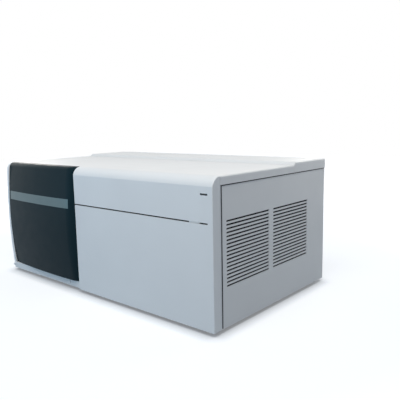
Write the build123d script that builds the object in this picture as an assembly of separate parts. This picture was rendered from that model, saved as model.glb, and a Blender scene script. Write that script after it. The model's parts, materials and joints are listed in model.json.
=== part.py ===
"""Benchtop triple-quadrupole mass spectrometer: casework, ion source, ion path, vacuum and electronics.

Frame: +X to the right, +Y to the rear, +Z up. Origin on the table, at the middle of the overall footprint.
"""
from build123d import *
import math
import os

# ---- Casework ----
BODY_LENGTH = 1126.0      # left edge of the surround to the right cover's edge
BODY_DEPTH = 665.0        # flat front to rear panel
BODY_HEIGHT = 465.0       # table to the flat front part of the top
GROUND_GAP = 12.0         # table to the underside of the covers
WHITE_WIDTH = 643.0       # right front cover
COVER_RETURN = 33.0       # how far the front covers reach back
COVER_WALL = 4.0          # moulded front covers
PANEL_WALL = 3.0          # side panels
REAR_WALL = 2.0           # rear panel
TOP_WALL = 2.5            # top covers
TRAY_WALL = 2.0           # base tray
REVEAL = 1.0              # shadow gap between covers
EDGE_RADIUS = 2.5         # right cover's outer edges
EDGE_BANDS = 3
SIDE_RECESS = 2.0         # side panels lie this far inside the covers' edges
TOP_SKIRT = 26.0          # depth of the top covers' sides
TOP_BEND = 5.0            # outer bend radius of the top covers
PLATEAU_START = 440.0     # flat front to the foot of the raised rear top
PLATEAU_RUN = 12.0        # length of the slope up to it
PLATEAU_RISE = 9.0        # height of the raised rear top
TOP_RIBS = 3              # ribs under the raised top that stand on the frame
RIB_THICK = 4.0

# ---- Right front cover ----
ROLL_DROP = 28.0          # crease to the top
ROLL_SETBACK = 34.1       # where the roll meets the top level, less than a wall past the return
GROOVE_HEIGHT = 331.0     # middle of the long groove
GROOVE_WIDTH = 4.6
GROOVE_DEPTH = 12.0
GROOVE_END = 19.5         # groove's end to the right edge
GROOVE_RIB = 3.0          # material left round the groove
LAMP_WIDTH = 27.5         # status lamp slot
LAMP_TALL = 5.4
LAMP_INSET = 18.5         # lamp slot to the right edge
LAMP_DROP = 50.5          # middle of the lamp slot to the top
LAMP_FLANGE = 3.0         # height and reach of the flange behind the wall
LAMP_FLANGE_THICK = 2.0
LAMP_SINK = 0.8           # lamp's face behind the cover's

# ---- Dark bowed panel and its white surround ----
BEZEL_WIDTH = 26.0        # white strip left of the dark panel
BAND_HEIGHT = 26.0        # white band under the dark panel
ROLL_STEPS = 6            # bands in which the rolls into the top are built
CROWN_HEIGHT = 250.0      # height at which both bows stand furthest forward
PANEL_SAG = 13.4          # dark panel's bow: its foremost line to its upper end
PANEL_FORWARD = 3.0       # how far the bow's reference line stands before the flat front
PANEL_ROLL = 18.0         # radius where the dark panel turns into the top
PLAN_SAG = 14.6           # bow from side to side: its foremost line to the left edge
PLAN_CROWN = 16.0         # how far the bow stands before its reference line
CROWN_INSET = 160.0       # bow's foremost line to the dark panel's right edge
EDGE_ROLL = 37.0          # rolled strip at the dark panel's right edge
EDGE_DROP = 1.0           # end of that roll behind the reference line
SURROUND_SAG = 6.7        # surround's bow: its foremost line to its upper end
SURROUND_ROLL = 28.0      # radius where the surround turns into the top
NOTCH_DEPTH = 1.0         # groove in the surround, behind the flat front
SURROUND_CORNER = 16.0    # radius of the surround's outer corner
STRIPE_HEIGHT = 34.0      # blank stripe on the dark panel
STRIPE_LEFT_INSET = 12.0
STRIPE_RIGHT_INSET = 24.0
STRIPE_THICK = 0.8

# ---- Frame, tray and feet ----
TUBE = 25.0               # square frame tube
TUBE_WALL = 2.0
FRONT_CLEARANCE = 4.0     # covers' rear edge to the tray's front flange
TRAY_FLANGE = 30.0
BOSS_RADIUS = 6.0
BOSS_INSET = 70.0         # cover bosses to their cover's ends
MID_RAIL = 380.0          # middle of the front rail that carries the covers
FOOT_RADIUS = 19.0
FOOT_TAPER = 2.0
FOOT_INSET = 75.0

# ---- Right side louvres ----
LOUVRE_COUNT = 18
LOUVRE_PITCH = 11.4
LOUVRE_SLOT = 5.7
LOUVRE_LOW = 138.0        # lowest slot's middle
LOUVRE_START = 63.0       # first bank to the flat front
LOUVRE_LENGTH = 225.0
LOUVRE_BANKS = 2
BANK_GAP = 24.0

# ---- Ion axis and source ----
ION_DEPTH = 215.0         # flat front to the ion axis
ION_HEIGHT = 300.0
PLATE_REACH = 42.0        # source block's face to the left edge of the casework
PLATE_CORNER = 14.0       # rounding of the source block, the flange and the chamber
PLATE_STEP = 3.0          # flange's edge to the source block's
WINDOW_CLEARANCE = 2.0    # round the source block in the left side panel
DOOR_GAP = 0.3            # between the source block and the closed chamber
FLANGE_RIM = 16.0         # thumbscrews to the flange's edge
FLANGE_THICK = 12.0
CHAMBER_HALF = 66.0       # half the chamber's width and height
CHAMBER_WALL = 12.0
CHAMBER_LENGTH = 124.0    # flange face to the end wall's outside
CHAMBER_END = 8.0
GLASS_RADIUS = 36.0
GLASS_THICK = 4.0
SIGHT_RADIUS = 30.0
WINDOW_RING = 5.0         # thickness of the ring that holds the window
RING_RADIUS = 46.0
HINGE_OFFSET = 14.0       # flange edge to the hinge axis
PIN_RADIUS = 4.0
KNUCKLE_RADIUS = 8.0
KNUCKLE_LENGTH = 30.0
KNUCKLE_ROOT = 2.0        # how far a knuckle's arm reaches into the flange
LUG_LENGTH = 16.0
LUG_SETBACK = 2.0         # lugs and leaf behind the source block's face
LUG_THICK = 12.0
LEAF_WIDTH = 32.0
LEAF_THICK = 4.0
PIN_HEAD = 3.0            # height of the hinge pin's head, and 2/3 of it wider than the pin
HINGE_SPAN = 62.0         # middle of the hinge to the inner ends of the fixed lugs
RUNNING = 0.05            # radial clearance of turning fits
SIDE_PLAY = 0.3           # end clearance of turning pieces
SCREW_MARGIN = 6.0        # thumbscrews beyond the chamber's sides
SCREW_RADIUS = 4.0
SCREW_TIP = 3.0           # radius and length of the thumbscrew's tip
KNOB_RADIUS = 11.0
KNOB_LENGTH = 14.0
KNOB_FLUTES = 10
FLUTE_RADIUS = 2.4
KNOB_CHAMFER = 1.2        # also how far a flute's axis lies outside the knob
SHIELD_RADIUS = 38.0      # spray shield
SHIELD_TALL = 16.0
SHIELD_NECK = 9.0         # shield's outer radius at its mouth
SHIELD_MOUTH = 5.0
SHIELD_SHEET = 2.0
CAPILLARY_RADIUS = 3.25
CAPILLARY_PROUD = 10.0    # capillary's mouth to the source block's face
NEEDLE_SETBACK = 52.0     # nebulizer axis to the source block's face
NEEDLE_RADIUS = 4.0
NEEDLE_REACH = 22.0       # needle's tip below the chamber's ceiling
NEEDLE_TAPER = 6.0
NEBULIZER_RADIUS = 9.0
NEBULIZER_TALL = 46.0
NEBULIZER_SHOULDER = 22.0   # wide part's end above the tower
NUT_RADIUS = 6.0
NUT_TALL = 12.0
INLET_RADIUS = 2.5        # tube stub on top
TOWER_RADIUS = 24.0       # boss on the chamber that carries the nebulizer
TOWER_RISE = 18.0
LOCK_RADIUS = 17.0
LOCK_TALL = 12.0
WING_SPAN = 26.0
WING_HALF = 3.5
DRAIN_RADIUS = 9.0
DRAIN_BORE = 6.0
DRAIN_DROP = 30.0
DRAIN_LIP = 1.5
DRAIN_TAPER = 5.0

# ---- Vacuum manifold and ion optics ----
MANIFOLD_LEFT = 45.0      # casework's left edge to the manifold
MANIFOLD_RIGHT = 110.0    # manifold to the casework's right edge
MANIFOLD_HALF = 72.0      # half its width
MANIFOLD_DROP = 72.0      # ion axis to its underside
MANIFOLD_RISE = 60.0      # ion axis to its rim
MANIFOLD_WALL = 12.0
BULKHEAD = 10.0
BULKHEAD_BORE = 20.0
SKIMMER_TALL = 22.0
SKIMMER_GAP = 8.0         # capillary's end to the skimmer's tip
STAGE_ONE = 60.0
STAGE_TWO = 130.0
LID_THICK = 15.0
BRACKET_WIDTH = 40.0
BRACKET_INSET = 4.0       # trestles to the manifold's ends
BRACKET_SHEET = 3.0
LENS_RIM = 6.0            # cone and lens flange beyond the bulkhead's hole
LENS_THICK = 3.0
LENS_HOLE = 2.0
SKIMMER_WALL = 1.0        # at the skimmer's tip
SEAL_WIDTH = 4.0
SEAL_TALL = 3.0
COLLAR_RADIUS = 30.0      # ceramic collars that hold the rods
COLLAR_LENGTH = 14.0
COLLAR_INSET = 11.0       # collars to their rods' ends
QUAD_ROD = 8.0
QUAD_GAP = 7.0            # ion axis to a quadrupole rod's surface
CELL_LENGTH = 160.0
CELL_HALF = 30.0
CELL_WALL = 5.0
CELL_HOLE = 3.0
HEX_ROD = 3.0
HEX_GAP = 5.0
OCT_ROD = 1.5
OCT_GAP = 5.0
OPTIC_GAP = 12.0          # between neighbours on the bench
BENCH_WIDTH = 36.0
BENCH_INSET = 3.0         # bench ends to the manifold's inner walls
DETECTOR_SEAT = 24.0      # detector's axis beyond the second mass filter's gap
DETECTOR_ROOM = 113.0     # detector's axis to the manifold's end wall
DYNODE_RADIUS = 26.0
DYNODE_SHEET = 4.0
DYNODE_RISE = 12.0        # its centre above the ion axis
DYNODE_WIDTH = 24.0
HORN_BODY = (14.0, 6.0)   # multiplier's foot: radius and height
HORN_NECK = (8.0, 20.0)
HORN_MOUTH = (18.0, 36.0)
HORN_WALL = 2.0

# ---- Turbo pumps ----
PORT_RADIUS = 45.0
PUMP_FLANGE = 68.0
PUMP_FLANGE_THICK = 12.0
PUMP_RADIUS = 57.0
PUMP_BORE = 50.0
PUMP_TALL = 180.0
PUMP_FLOOR = 46.0
PUMP_INSET = 330.0        # second pump's axis to the manifold's right end
PUMP_FOOT_STEP = 6.0      # pump's foot is this much narrower than its barrel
OUTLET_REACH = 8.0        # outlet stub beyond the pump's flange
OUTLET_WALL = 4.0
ROTOR_RADIUS = 47.0
ROTOR_HUB = 24.0
ROTOR_STAGES = 6
ROTOR_PITCH = 18.0
DISC_THICK = 3.0
BLADES = 14
BLADE_TURN = 35.0         # degrees
BLADE_CHORD = 8.0
BLADE_THICK = 1.6
SHAFT_RADIUS = 6.0
SHAFT_DEPTH = 18.0
SHAFT_END = 4.0           # room under the shaft, between hub and floor, and the hub's dome
FORELINE_RADIUS = 9.0
FORELINE_WALL = 1.5
FORELINE_RISE = 30.0      # pump's underside to the middle of its outlet
FORELINE_RUN = 40.0       # pump outlets to the cross pipe
REAR_REACH = 34.0         # furthest fitting behind the rear panel

# ---- Rear side ----
FAN_SIZE = 120.0
FAN_DEPTH = 32.0
FAN_BORE = 57.0
FAN_HUB = 19.0
FAN_SPINDLE = 3.0
FAN_BLADES = 7
FAN_HEIGHT = 250.0
FAN_PLACES = (-150.0, 20.0)   # fan axes from the middle of the casework
FAN_SPIDER = 4.0          # thickness of the struts behind the rotor
FAN_CORNER = 6.0
FAN_CLEARANCE = 2.0       # blade tips to the housing's bore
FAN_STRUT = 5.0
FAN_RIM = 4.0             # rotor behind the housing's rear face
FAN_CHORD = 24.0
FAN_TURN = 40.0           # degrees
FAN_BLADE = 1.6
GRILLE_SLOTS = 7
GRILLE_PITCH = 14.0
GRILLE_SLOT = 7.0
GAS_PLACES = (330.0, 370.0)   # gas inlets to the right edge
GAS_HEIGHT = 90.0
GAS_STUB = 3.2
GAS_BORE = 2.0
GAS_THREAD = (6.0, 12.0)  # radius, and length in front of the rear face
GAS_NUT = (10.0, 6.0)
GAS_STUB_END = 26.0
PORT_NECK = 3.0           # foreline port's wall inside the panel
PORT_FLANGE = (20.0, 4.0)
PORT_STUB = 12.5
CUT_CLEARANCE = 0.3       # round fittings that pass through the rear panel
INLET_INSET = 130.0       # middle of the power inlet to the right edge
INLET_HEIGHT = 95.0
INLET_FLANGE = (26.0, 36.0)   # half width and half height
INLET_BODY = (21.0, 31.0)
INLET_DEPTH = 28.0
INLET_LIP = 3.0           # thickness of the flange outside
INLET_CORNER = 4.0
SOCKET_HALF = (14.0, 11.0)
SOCKET_DROP = 17.0        # middle of the socket below the module's middle
SOCKET_DEPTH = 18.0
PRONG_LENGTH = 9.0
PRONG_HALF = (1.0, 3.0)
PRONGS = ((-7.0, -2.0), (0.0, 3.0), (7.0, -2.0))
ROCKER_RISE = 15.0        # rocker's pivot above the module's middle
ROCKER_WINDOW = (13.3, 13.0)
ROCKER_DEPTH = 11.0       # window's floor behind the rear panel's face
ROCKER_SEAT = 3.0         # pin's reach into each side of the window
ROCKER_SETBACK = 3.0      # pivot behind the rear panel's face
ROCKER_REST = 8.0         # degrees by which the rocker rests tilted
ROCKER_PIN = 1.5
SHELF_HEIGHT = 112.0
SHELF_SETBACK = 335.0     # flat front to the shelf
SHELF_GAP = 60.0          # shelf to the rear panel's face
SHELF_WALL = 2.0
SHELF_END = 20.0          # shelf to the frame's posts
BOX_SETBACK = 20.0        # boxes on the shelf to its front edge
BOX_GAP = 9.0             # second generator to the power supply
RF_WIDTH = 220.0
RF_GAP = 40.0             # between the two generators
RF_DEPTH = 140.0
RF_TALL = 170.0
FIN_TALL = 20.0
FIN_THICK = 4.0
FIN_PITCH = 20.0
FIN_INSET = 10.0
FINS = 7
SUPPLY_ROOM = 60.0        # power supply to the circuit board
SUPPLY_DEPTH = 170.0
SUPPLY_TALL = 110.0
BOARD_INSET = 230.0       # circuit board to the right edge
BOARD_GAP = 4.0           # circuit board to the rear panel
BOARD_THICK = 2.0
BOARD_TALL = 180.0
BOARD_DEPTH = 190.0
CHIP_SIZE = 26.0
CHIP_THICK = 3.0
CHIP_ROWS = (30.0, 80.0, 130.0)       # feet above the shelf
CHIP_COLUMNS = (60.0, 110.0, 150.0)   # rear edges to the board's rear edge
CONNECTOR_DEEP = 14.0
CONNECTOR_PROUD = 1.0     # connectors beyond the rear face
CONNECTORS = ((140.0, 16.0), (175.0, 32.0), (225.0, 32.0))   # foot and height of each
VALVE_INSET = 60.0        # divert valve to the manifold's left end
VALVE_BODY = (26.0, 48.0)   # half width, and depth
VALVE_CORNER = 4.0
VALVE_RADIUS = 18.0
VALVE_HEAD = 16.0
VALVE_COVER = 4.0         # head's front wall, before the rotor
VALVE_ROTOR = 12.0
VALVE_ROTOR_DEPTH = 10.0
VALVE_SHAFT = (4.0, 25.0)   # radius, and length behind the rotor's seat
VALVE_PORTS = 6
VALVE_PORT = 1.2
VALVE_PORT_RING = 7.0

# ---- Planes worked out from the sizes above ----
SOURCE_REACH = PLATE_REACH + DOOR_GAP + CHAMBER_LENGTH + WINDOW_RING
RIGHT = (BODY_LENGTH + SOURCE_REACH) / 2
LEFT = RIGHT - BODY_LENGTH
MIDDLE = (LEFT + RIGHT) / 2
SEAM = RIGHT - WHITE_WIDTH
PANEL_LEFT = LEFT + BEZEL_WIDTH + REVEAL / 2
PANEL_RIGHT = SEAM - REVEAL / 2
FRONT = (PANEL_FORWARD + PLAN_CROWN - BODY_DEPTH - REAR_REACH) / 2
REAR = FRONT + BODY_DEPTH
BASE = GROUND_GAP
TOP = BODY_HEIGHT
SHUT = TOP - TOP_SKIRT
COVER_BACK = FRONT + COVER_RETURN
SIDE_LEFT = LEFT + SIDE_RECESS + PANEL_WALL
SIDE_RIGHT = RIGHT - SIDE_RECESS - PANEL_WALL
TRAY_FRONT = COVER_BACK + FRONT_CLEARANCE
TRAY_REAR = REAR - REAR_WALL
FRAME_LEFT = SIDE_LEFT + TRAY_WALL
FRAME_RIGHT = SIDE_RIGHT - TRAY_WALL
FRAME_FRONT = TRAY_FRONT + TRAY_WALL
FRAME_REAR = TRAY_REAR - TRAY_WALL
FLOOR = BASE + TRAY_WALL
FRAME_TOP = TOP - TOP_WALL
LOW_RAIL = FLOOR + TUBE / 2
BAND_TOP = BASE + BAND_HEIGHT
ION_Y = FRONT + ION_DEPTH
ION_Z = ION_HEIGHT
PLATE_FACE = LEFT - PLATE_REACH
DOOR_FACE = PLATE_FACE - DOOR_GAP
CHAMBER_CLOSED = DOOR_FACE - CHAMBER_LENGTH
INSIDE = CHAMBER_HALF - CHAMBER_WALL
TOWER_TOP = ION_Z + CHAMBER_HALF + TOWER_RISE
SCREW_SPREAD = CHAMBER_HALF + SCREW_MARGIN
FLANGE_HALF = SCREW_SPREAD + FLANGE_RIM
PLATE_HALF = FLANGE_HALF - PLATE_STEP
HINGE_Y = ION_Y + FLANGE_HALF + HINGE_OFFSET
HINGE_X = PLATE_FACE - DOOR_GAP / 2
MAN_LEFT = LEFT + MANIFOLD_LEFT
MAN_RIGHT = RIGHT - MANIFOLD_RIGHT
MAN_LOW = ION_Z - MANIFOLD_DROP
MAN_RIM = ION_Z + MANIFOLD_RISE
MAN_FLOOR = MAN_LOW + MANIFOLD_WALL
STAGE_1 = MAN_LEFT + MANIFOLD_WALL
STAGE_2 = STAGE_1 + STAGE_ONE + BULKHEAD
STAGE_3 = STAGE_2 + STAGE_TWO + BULKHEAD
STAGE_END = MAN_RIGHT - MANIFOLD_WALL
PUMP_PLACES = (STAGE_2 + STAGE_TWO / 2, MAN_RIGHT - PUMP_INSET)
NEEDLE_X = PLATE_FACE - NEEDLE_SETBACK
OUTLET_Y = ION_Y + PUMP_FLANGE + OUTLET_REACH
OUTLET_Z = MAN_LOW - PUMP_TALL + FORELINE_RISE
INLET_X = RIGHT - INLET_INSET
BOARD_X = RIGHT - BOARD_INSET
SHELF_FRONT = FRONT + SHELF_SETBACK
SHELF_REAR = REAR - SHELF_GAP
BOX_FRONT = SHELF_FRONT + BOX_SETBACK
RF_PLACES = (STAGE_2, STAGE_2 + RF_WIDTH + RF_GAP)
GUIDE_X = STAGE_2 + OPTIC_GAP
GUIDE_LENGTH = STAGE_TWO - 2 * OPTIC_GAP
QUAD_ONE_X = STAGE_3 + 2 * OPTIC_GAP
QUAD_ROOM = STAGE_END - DETECTOR_ROOM - DETECTOR_SEAT - QUAD_ONE_X
QUAD_LENGTH = (QUAD_ROOM - CELL_LENGTH - 3 * OPTIC_GAP) / 2
CELL_X = QUAD_ONE_X + QUAD_LENGTH + OPTIC_GAP
QUAD_TWO_X = CELL_X + CELL_LENGTH + OPTIC_GAP
DETECTOR_X = QUAD_TWO_X + QUAD_LENGTH + OPTIC_GAP + DETECTOR_SEAT


def block(x, y, z):
    """Box between two values on each axis."""
    middle = Pos((x[0] + x[1]) / 2, (y[0] + y[1]) / 2, (z[0] + z[1]) / 2)
    return middle * Box(abs(x[1] - x[0]), abs(y[1] - y[0]), abs(z[1] - z[0]))


def rod(radius, start, end):
    """Cylinder from one point to another."""
    along = Vector(*end) - Vector(*start)
    seat = Plane(origin=start, z_dir=along)
    return seat * Cylinder(radius, along.length, align=(Align.CENTER, Align.CENTER, Align.MIN))


def turned(outline, origin, direction=(0, 0, 1)):
    """Solid of revolution from (radius, height) points about an axis through origin."""
    section = Plane.XZ * make_face(Polyline(*outline, close=True))
    return Plane(origin=origin, z_dir=direction) * revolve(section, Axis.Z)


def side_face(outline):
    """Face in a plane across X from (y, z) edges."""
    return Plane.YZ * make_face(outline)


def group(solids):
    """Separate identical solids kept together."""
    return Compound(children=list(solids))


def square_bar(x, half):
    """Square bar on the ion axis between two values of x."""
    return block(x, (ION_Y - half, ION_Y + half), (ION_Z - half, ION_Z + half))


def on_axis(radius, x):
    """Cylinder on the ion axis between two values of x."""
    return rod(radius, (x[0], ION_Y, ION_Z), (x[1], ION_Y, ION_Z))


# ---- Front covers ----
def roll_section(inset, back):
    """Side view of the right cover: flat face, crease, then an arc level with the top where it ends."""
    radius = (ROLL_SETBACK ** 2 + ROLL_DROP ** 2) / (2 * ROLL_DROP)
    centre = (FRONT + ROLL_SETBACK, TOP - radius)
    reach = radius - inset
    face = FRONT + inset
    crease = centre[1] + math.sqrt(reach ** 2 - (centre[0] - face) ** 2)
    start = math.atan2(crease - centre[1], face - centre[0])
    end = math.acos((back - centre[0]) / reach) if back < centre[0] else math.pi / 2
    angles = (start, (start + end) / 2, end)
    on_arc = [(centre[0] + reach * math.cos(a), centre[1] + reach * math.sin(a)) for a in angles]
    low = BASE + inset
    if back > centre[0]:
        tail = Polyline(on_arc[2], (back, on_arc[2][1]), (back, low), (face, low), on_arc[0])
    else:
        tail = Polyline(on_arc[2], (back, low), (face, low), on_arc[0])
    return side_face(ThreePointArc(*on_arc) + tail)


def cover_bosses(places, heights, start=FRONT + COVER_WALL):
    """Bosses inside a front cover that reach the tray's flange or the frame's middle rail."""
    bosses = []
    for z in heights:
        end = TRAY_FRONT if z < BASE + TRAY_FLANGE else FRAME_FRONT
        bosses += [rod(BOSS_RADIUS, (x, start, z), (x, end, z)) for x in places]
    return bosses


def rounded_end():
    """Rounding along the cover's right end, as narrow bands between inset sections."""
    bands = []
    for k in range(EDGE_BANDS):
        ends = [math.pi / 2 * (k + j) / EDGE_BANDS for j in (0, 1)]
        sections = [Pos(RIGHT - EDGE_RADIUS * (1 - math.sin(a)), 0, 0)
                    * roll_section(EDGE_RADIUS * (1 - math.cos(a)), COVER_BACK) for a in ends]
        bands.append(loft(sections, ruled=True))
    return bands


def make_front_cover():
    left = SEAM + REVEAL / 2
    outer = Pos(left, 0, 0) * extrude(roll_section(0, COVER_BACK), RIGHT - EDGE_RADIUS - left)
    outer = outer + rounded_end()
    hollow = extrude(roll_section(COVER_WALL, COVER_BACK + 1), RIGHT - left - 2 * COVER_WALL)
    cover = outer - Pos(left + COVER_WALL, 0, 0) * hollow
    groove_right = RIGHT - GROOVE_END
    rib_half = GROOVE_WIDTH / 2 + GROOVE_RIB
    rib_back = FRONT + GROOVE_DEPTH + GROOVE_RIB
    rib = block((left, groove_right + GROOVE_RIB), (FRONT + COVER_WALL / 2, rib_back),
                (GROOVE_HEIGHT - rib_half, GROOVE_HEIGHT + rib_half))
    groove = block((left - 1, groove_right), (FRONT - 1, FRONT + GROOVE_DEPTH),
                   (GROOVE_HEIGHT - GROOVE_WIDTH / 2, GROOVE_HEIGHT + GROOVE_WIDTH / 2))
    cover = cover + rib - groove
    cover = cover + cover_bosses((left + BOSS_INSET, RIGHT - BOSS_INSET), (LOW_RAIL, MID_RAIL))
    return cover - lamp_block((FRONT - 1, FRONT + COVER_WALL))


def lamp_block(y, margin=0.0):
    """Block at the lamp's place, wider and taller by a margin on each side."""
    right = RIGHT - LAMP_INSET
    middle = TOP - LAMP_DROP
    reach = LAMP_TALL / 2 + margin
    return block((right - LAMP_WIDTH - margin, right + margin), y, (middle - reach, middle + reach))


def make_status_lamp():
    """Smoked bar in the slot, with a flange behind the wall."""
    back = FRONT + COVER_WALL
    return lamp_block((FRONT + LAMP_SINK, back)) + lamp_block((back, back + LAMP_FLANGE_THICK), LAMP_FLANGE)


def arc_radius(chord, sag):
    """Radius of an arc that falls back by sag over this distance from its foremost point."""
    return (chord ** 2 + sag ** 2) / (2 * sag)


def bow_centres(sag, roll, forward):
    """Radius and centre of a front bow, and centre of the roll into the top that is tangent to it."""
    roll_z = TOP - roll
    bow = arc_radius(roll_z - CROWN_HEIGHT, sag)
    bow_y = FRONT - forward + bow
    roll_y = bow_y - math.sqrt((bow - roll) ** 2 - (roll_z - CROWN_HEIGHT) ** 2)
    return bow, (bow_y, CROWN_HEIGHT), (roll_y, roll_z)


def bow_line(sag, roll, forward, inset, low):
    """(y, z) points up the bow, and from there over the roll."""
    bow, bow_at, roll_at = bow_centres(sag, roll, forward)
    turn = math.atan2(roll_at[1] - bow_at[1], bow_at[0] - roll_at[0])
    bottom = math.asin((low - CROWN_HEIGHT) / (bow - inset))
    bow_angles = [bottom, bottom / 2, 0, turn / 2, turn]
    roll_angles = [turn + (math.pi / 2 - turn) * k / ROLL_STEPS for k in range(ROLL_STEPS + 1)]
    return arc_points(bow_at, bow - inset, bow_angles), arc_points(roll_at, roll - inset, roll_angles)


def arc_points(centre, radius, angles):
    """(y, z) points in front of a centre, at angles from the horizontal."""
    return [(centre[0] - radius * math.cos(a), centre[1] + radius * math.sin(a)) for a in angles]


def panel_section(setback, height, inset, back):
    """Plan outline of the dark panel at one height."""
    left = PANEL_LEFT + inset
    right = PANEL_RIGHT - inset
    crown = PANEL_RIGHT - CROWN_INSET
    roll_start = PANEL_RIGHT - EDGE_ROLL
    radius = arc_radius(crown - PANEL_LEFT, PLAN_SAG)
    foremost = setback - PLAN_CROWN

    def bow(x):
        return (x, foremost + radius - math.sqrt(radius ** 2 - (x - crown) ** 2))

    front = ThreePointArc(bow(left), bow(crown), bow(roll_start))
    edge = (right, setback + EDGE_DROP)
    roll = TangentArc(bow(roll_start), edge, tangent=front % 1)
    sides = Polyline(edge, (right, back), (left, back), bow(left))
    return Pos(0, 0, height) * make_face(front + roll + sides)


def panel_body(inset, back=COVER_BACK):
    """Dark panel's bulk, its skin moved inwards by inset."""
    up, over = bow_line(PANEL_SAG, PANEL_ROLL, PANEL_FORWARD, inset, BAND_TOP + REVEAL + inset)
    lower = loft([panel_section(y, z, inset, back) for y, z in up])
    upper = loft([panel_section(y, z, inset, back) for y, z in over])
    return lower + upper


def stripe_skin():
    """Thin curved piece of the panel's skin where the stripe lies."""
    zone = block((PANEL_LEFT + STRIPE_LEFT_INSET, PANEL_RIGHT - STRIPE_RIGHT_INSET),
                 (FRONT - 2 * PLAN_CROWN, FRONT + COVER_RETURN / 2),
                 (GROOVE_HEIGHT - STRIPE_HEIGHT / 2, GROOVE_HEIGHT + STRIPE_HEIGHT / 2))
    return (panel_body(0) - panel_body(STRIPE_THICK)) & zone


def make_dark_panel():
    hollow = panel_body(COVER_WALL, COVER_BACK + 1)
    places = (PANEL_LEFT + BOSS_INSET, PANEL_RIGHT - BOSS_INSET)
    bosses = cover_bosses(places, (MID_RAIL,), FRONT - PLAN_CROWN)
    beyond = block((PANEL_LEFT, PANEL_RIGHT), (COVER_BACK, FRAME_FRONT), (BASE, TOP))
    trimmed = [(boss & panel_body(COVER_WALL / 2)) + (boss & beyond) for boss in bosses]
    return panel_body(0) - hollow - stripe_skin() + trimmed


def make_blank_stripe():
    return stripe_skin()


def surround_section(inset, back):
    up, over = bow_line(SURROUND_SAG, SURROUND_ROLL, PANEL_FORWARD, inset, BASE + inset)
    bow = ThreePointArc(up[0], up[2], up[4])
    roll = ThreePointArc(over[0], over[ROLL_STEPS // 2], over[-1])
    tail = Polyline(over[-1], (back, over[-1][1]), (back, up[0][1]), up[0])
    return side_face(bow + roll + tail)


def make_surround():
    """White moulding at the left end: upright bezel and the band under the dark panel."""
    outer = Pos(LEFT, 0, 0) * extrude(surround_section(0, COVER_BACK), PANEL_RIGHT - LEFT)
    left_edges = outer.faces().sort_by(Axis.X)[0].edges().filter_by(lambda e: e.center().Y < COVER_BACK - 0.1)
    left_edges = left_edges.filter_by(lambda e: e.center().Z > BASE + 1)
    outer = fillet(left_edges, SURROUND_CORNER)
    high = TOP + 1
    bay = block((LEFT + BEZEL_WIDTH, PANEL_RIGHT + 1), (FRONT - 2 * PLAN_CROWN, COVER_BACK + 1),
                (BAND_TOP, high))
    inner = extrude(surround_section(COVER_WALL, COVER_BACK + 1), PANEL_RIGHT - LEFT - 2 * COVER_WALL)
    inner = Pos(LEFT + COVER_WALL, 0, 0) * inner
    whole = (FRONT - PLAN_CROWN, COVER_BACK + 2)
    upright = inner & block((LEFT, LEFT + BEZEL_WIDTH - COVER_WALL), whole, (BASE, high))
    band = inner & block((LEFT, PANEL_RIGHT), whole, (BASE, BAND_TOP - COVER_WALL))
    groove = block((LEFT - 1, LEFT + BEZEL_WIDTH + 1), (FRONT - PLAN_CROWN, FRONT + NOTCH_DEPTH),
                   (GROOVE_HEIGHT - GROOVE_WIDTH / 2, GROOVE_HEIGHT + GROOVE_WIDTH / 2))
    upright_boss = LEFT + BEZEL_WIDTH / 2
    bosses = cover_bosses((upright_boss, PANEL_RIGHT - BOSS_INSET), (LOW_RAIL,))
    bosses += cover_bosses((upright_boss,), (MID_RAIL,))
    return outer - bay - upright - band - groove + bosses


# ---- Top, side and rear covers ----
def make_top_front_cover():
    y = (COVER_BACK + REVEAL, FRONT + PLATEAU_START - REVEAL)
    outer = block((LEFT, RIGHT), y, (SHUT, TOP))
    outer = fillet(outer.edges().filter_by(Axis.Y).group_by(Axis.Z)[-1], TOP_BEND)
    inner = block((LEFT + TOP_WALL, RIGHT - TOP_WALL), (y[0] - 1, y[1] + 1), (SHUT - 1, TOP - TOP_WALL))
    inner = fillet(inner.edges().filter_by(Axis.Y).group_by(Axis.Z)[-1], TOP_BEND - TOP_WALL)
    return outer - inner


def make_top_rear_cover():
    start = FRONT + PLATEAU_START
    high = TOP + PLATEAU_RISE
    outer = Polyline((start, SHUT), (start, TOP), (start + PLATEAU_RUN, high), (REAR, high), (REAR, SHUT),
                     close=True)
    outer = Pos(LEFT, 0, 0) * extrude(side_face(outer), BODY_LENGTH)
    upper = outer.edges().filter_by(lambda e: e.center().Z > TOP)
    ends = upper.filter_by(lambda e: abs(e.center().X - MIDDLE) > 1)
    rear_edge = upper.filter_by(Axis.X).filter_by(lambda e: e.center().Y > REAR - 1)
    outer = fillet(ends + rear_edge, TOP_BEND)
    foot = start + TOP_WALL / 2
    under = Polyline((start - 1, SHUT - 1), (start - 1, TOP - TOP_WALL), (foot, TOP - TOP_WALL),
                     (foot + PLATEAU_RUN, high - TOP_WALL), (REAR - TOP_WALL, high - TOP_WALL),
                     (REAR - TOP_WALL, SHUT - 1), close=True)
    inner = Pos(LEFT + TOP_WALL, 0, 0) * extrude(side_face(under), BODY_LENGTH - 2 * TOP_WALL)
    cover = outer - inner
    for k in range(1, TOP_RIBS + 1):
        x = LEFT + BODY_LENGTH * k / (TOP_RIBS + 1)
        cover = cover + block((x - RIB_THICK / 2, x + RIB_THICK / 2), (FRAME_REAR - TUBE, FRAME_REAR),
                              (FRAME_TOP, high - TOP_WALL / 2))
    return cover


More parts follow.
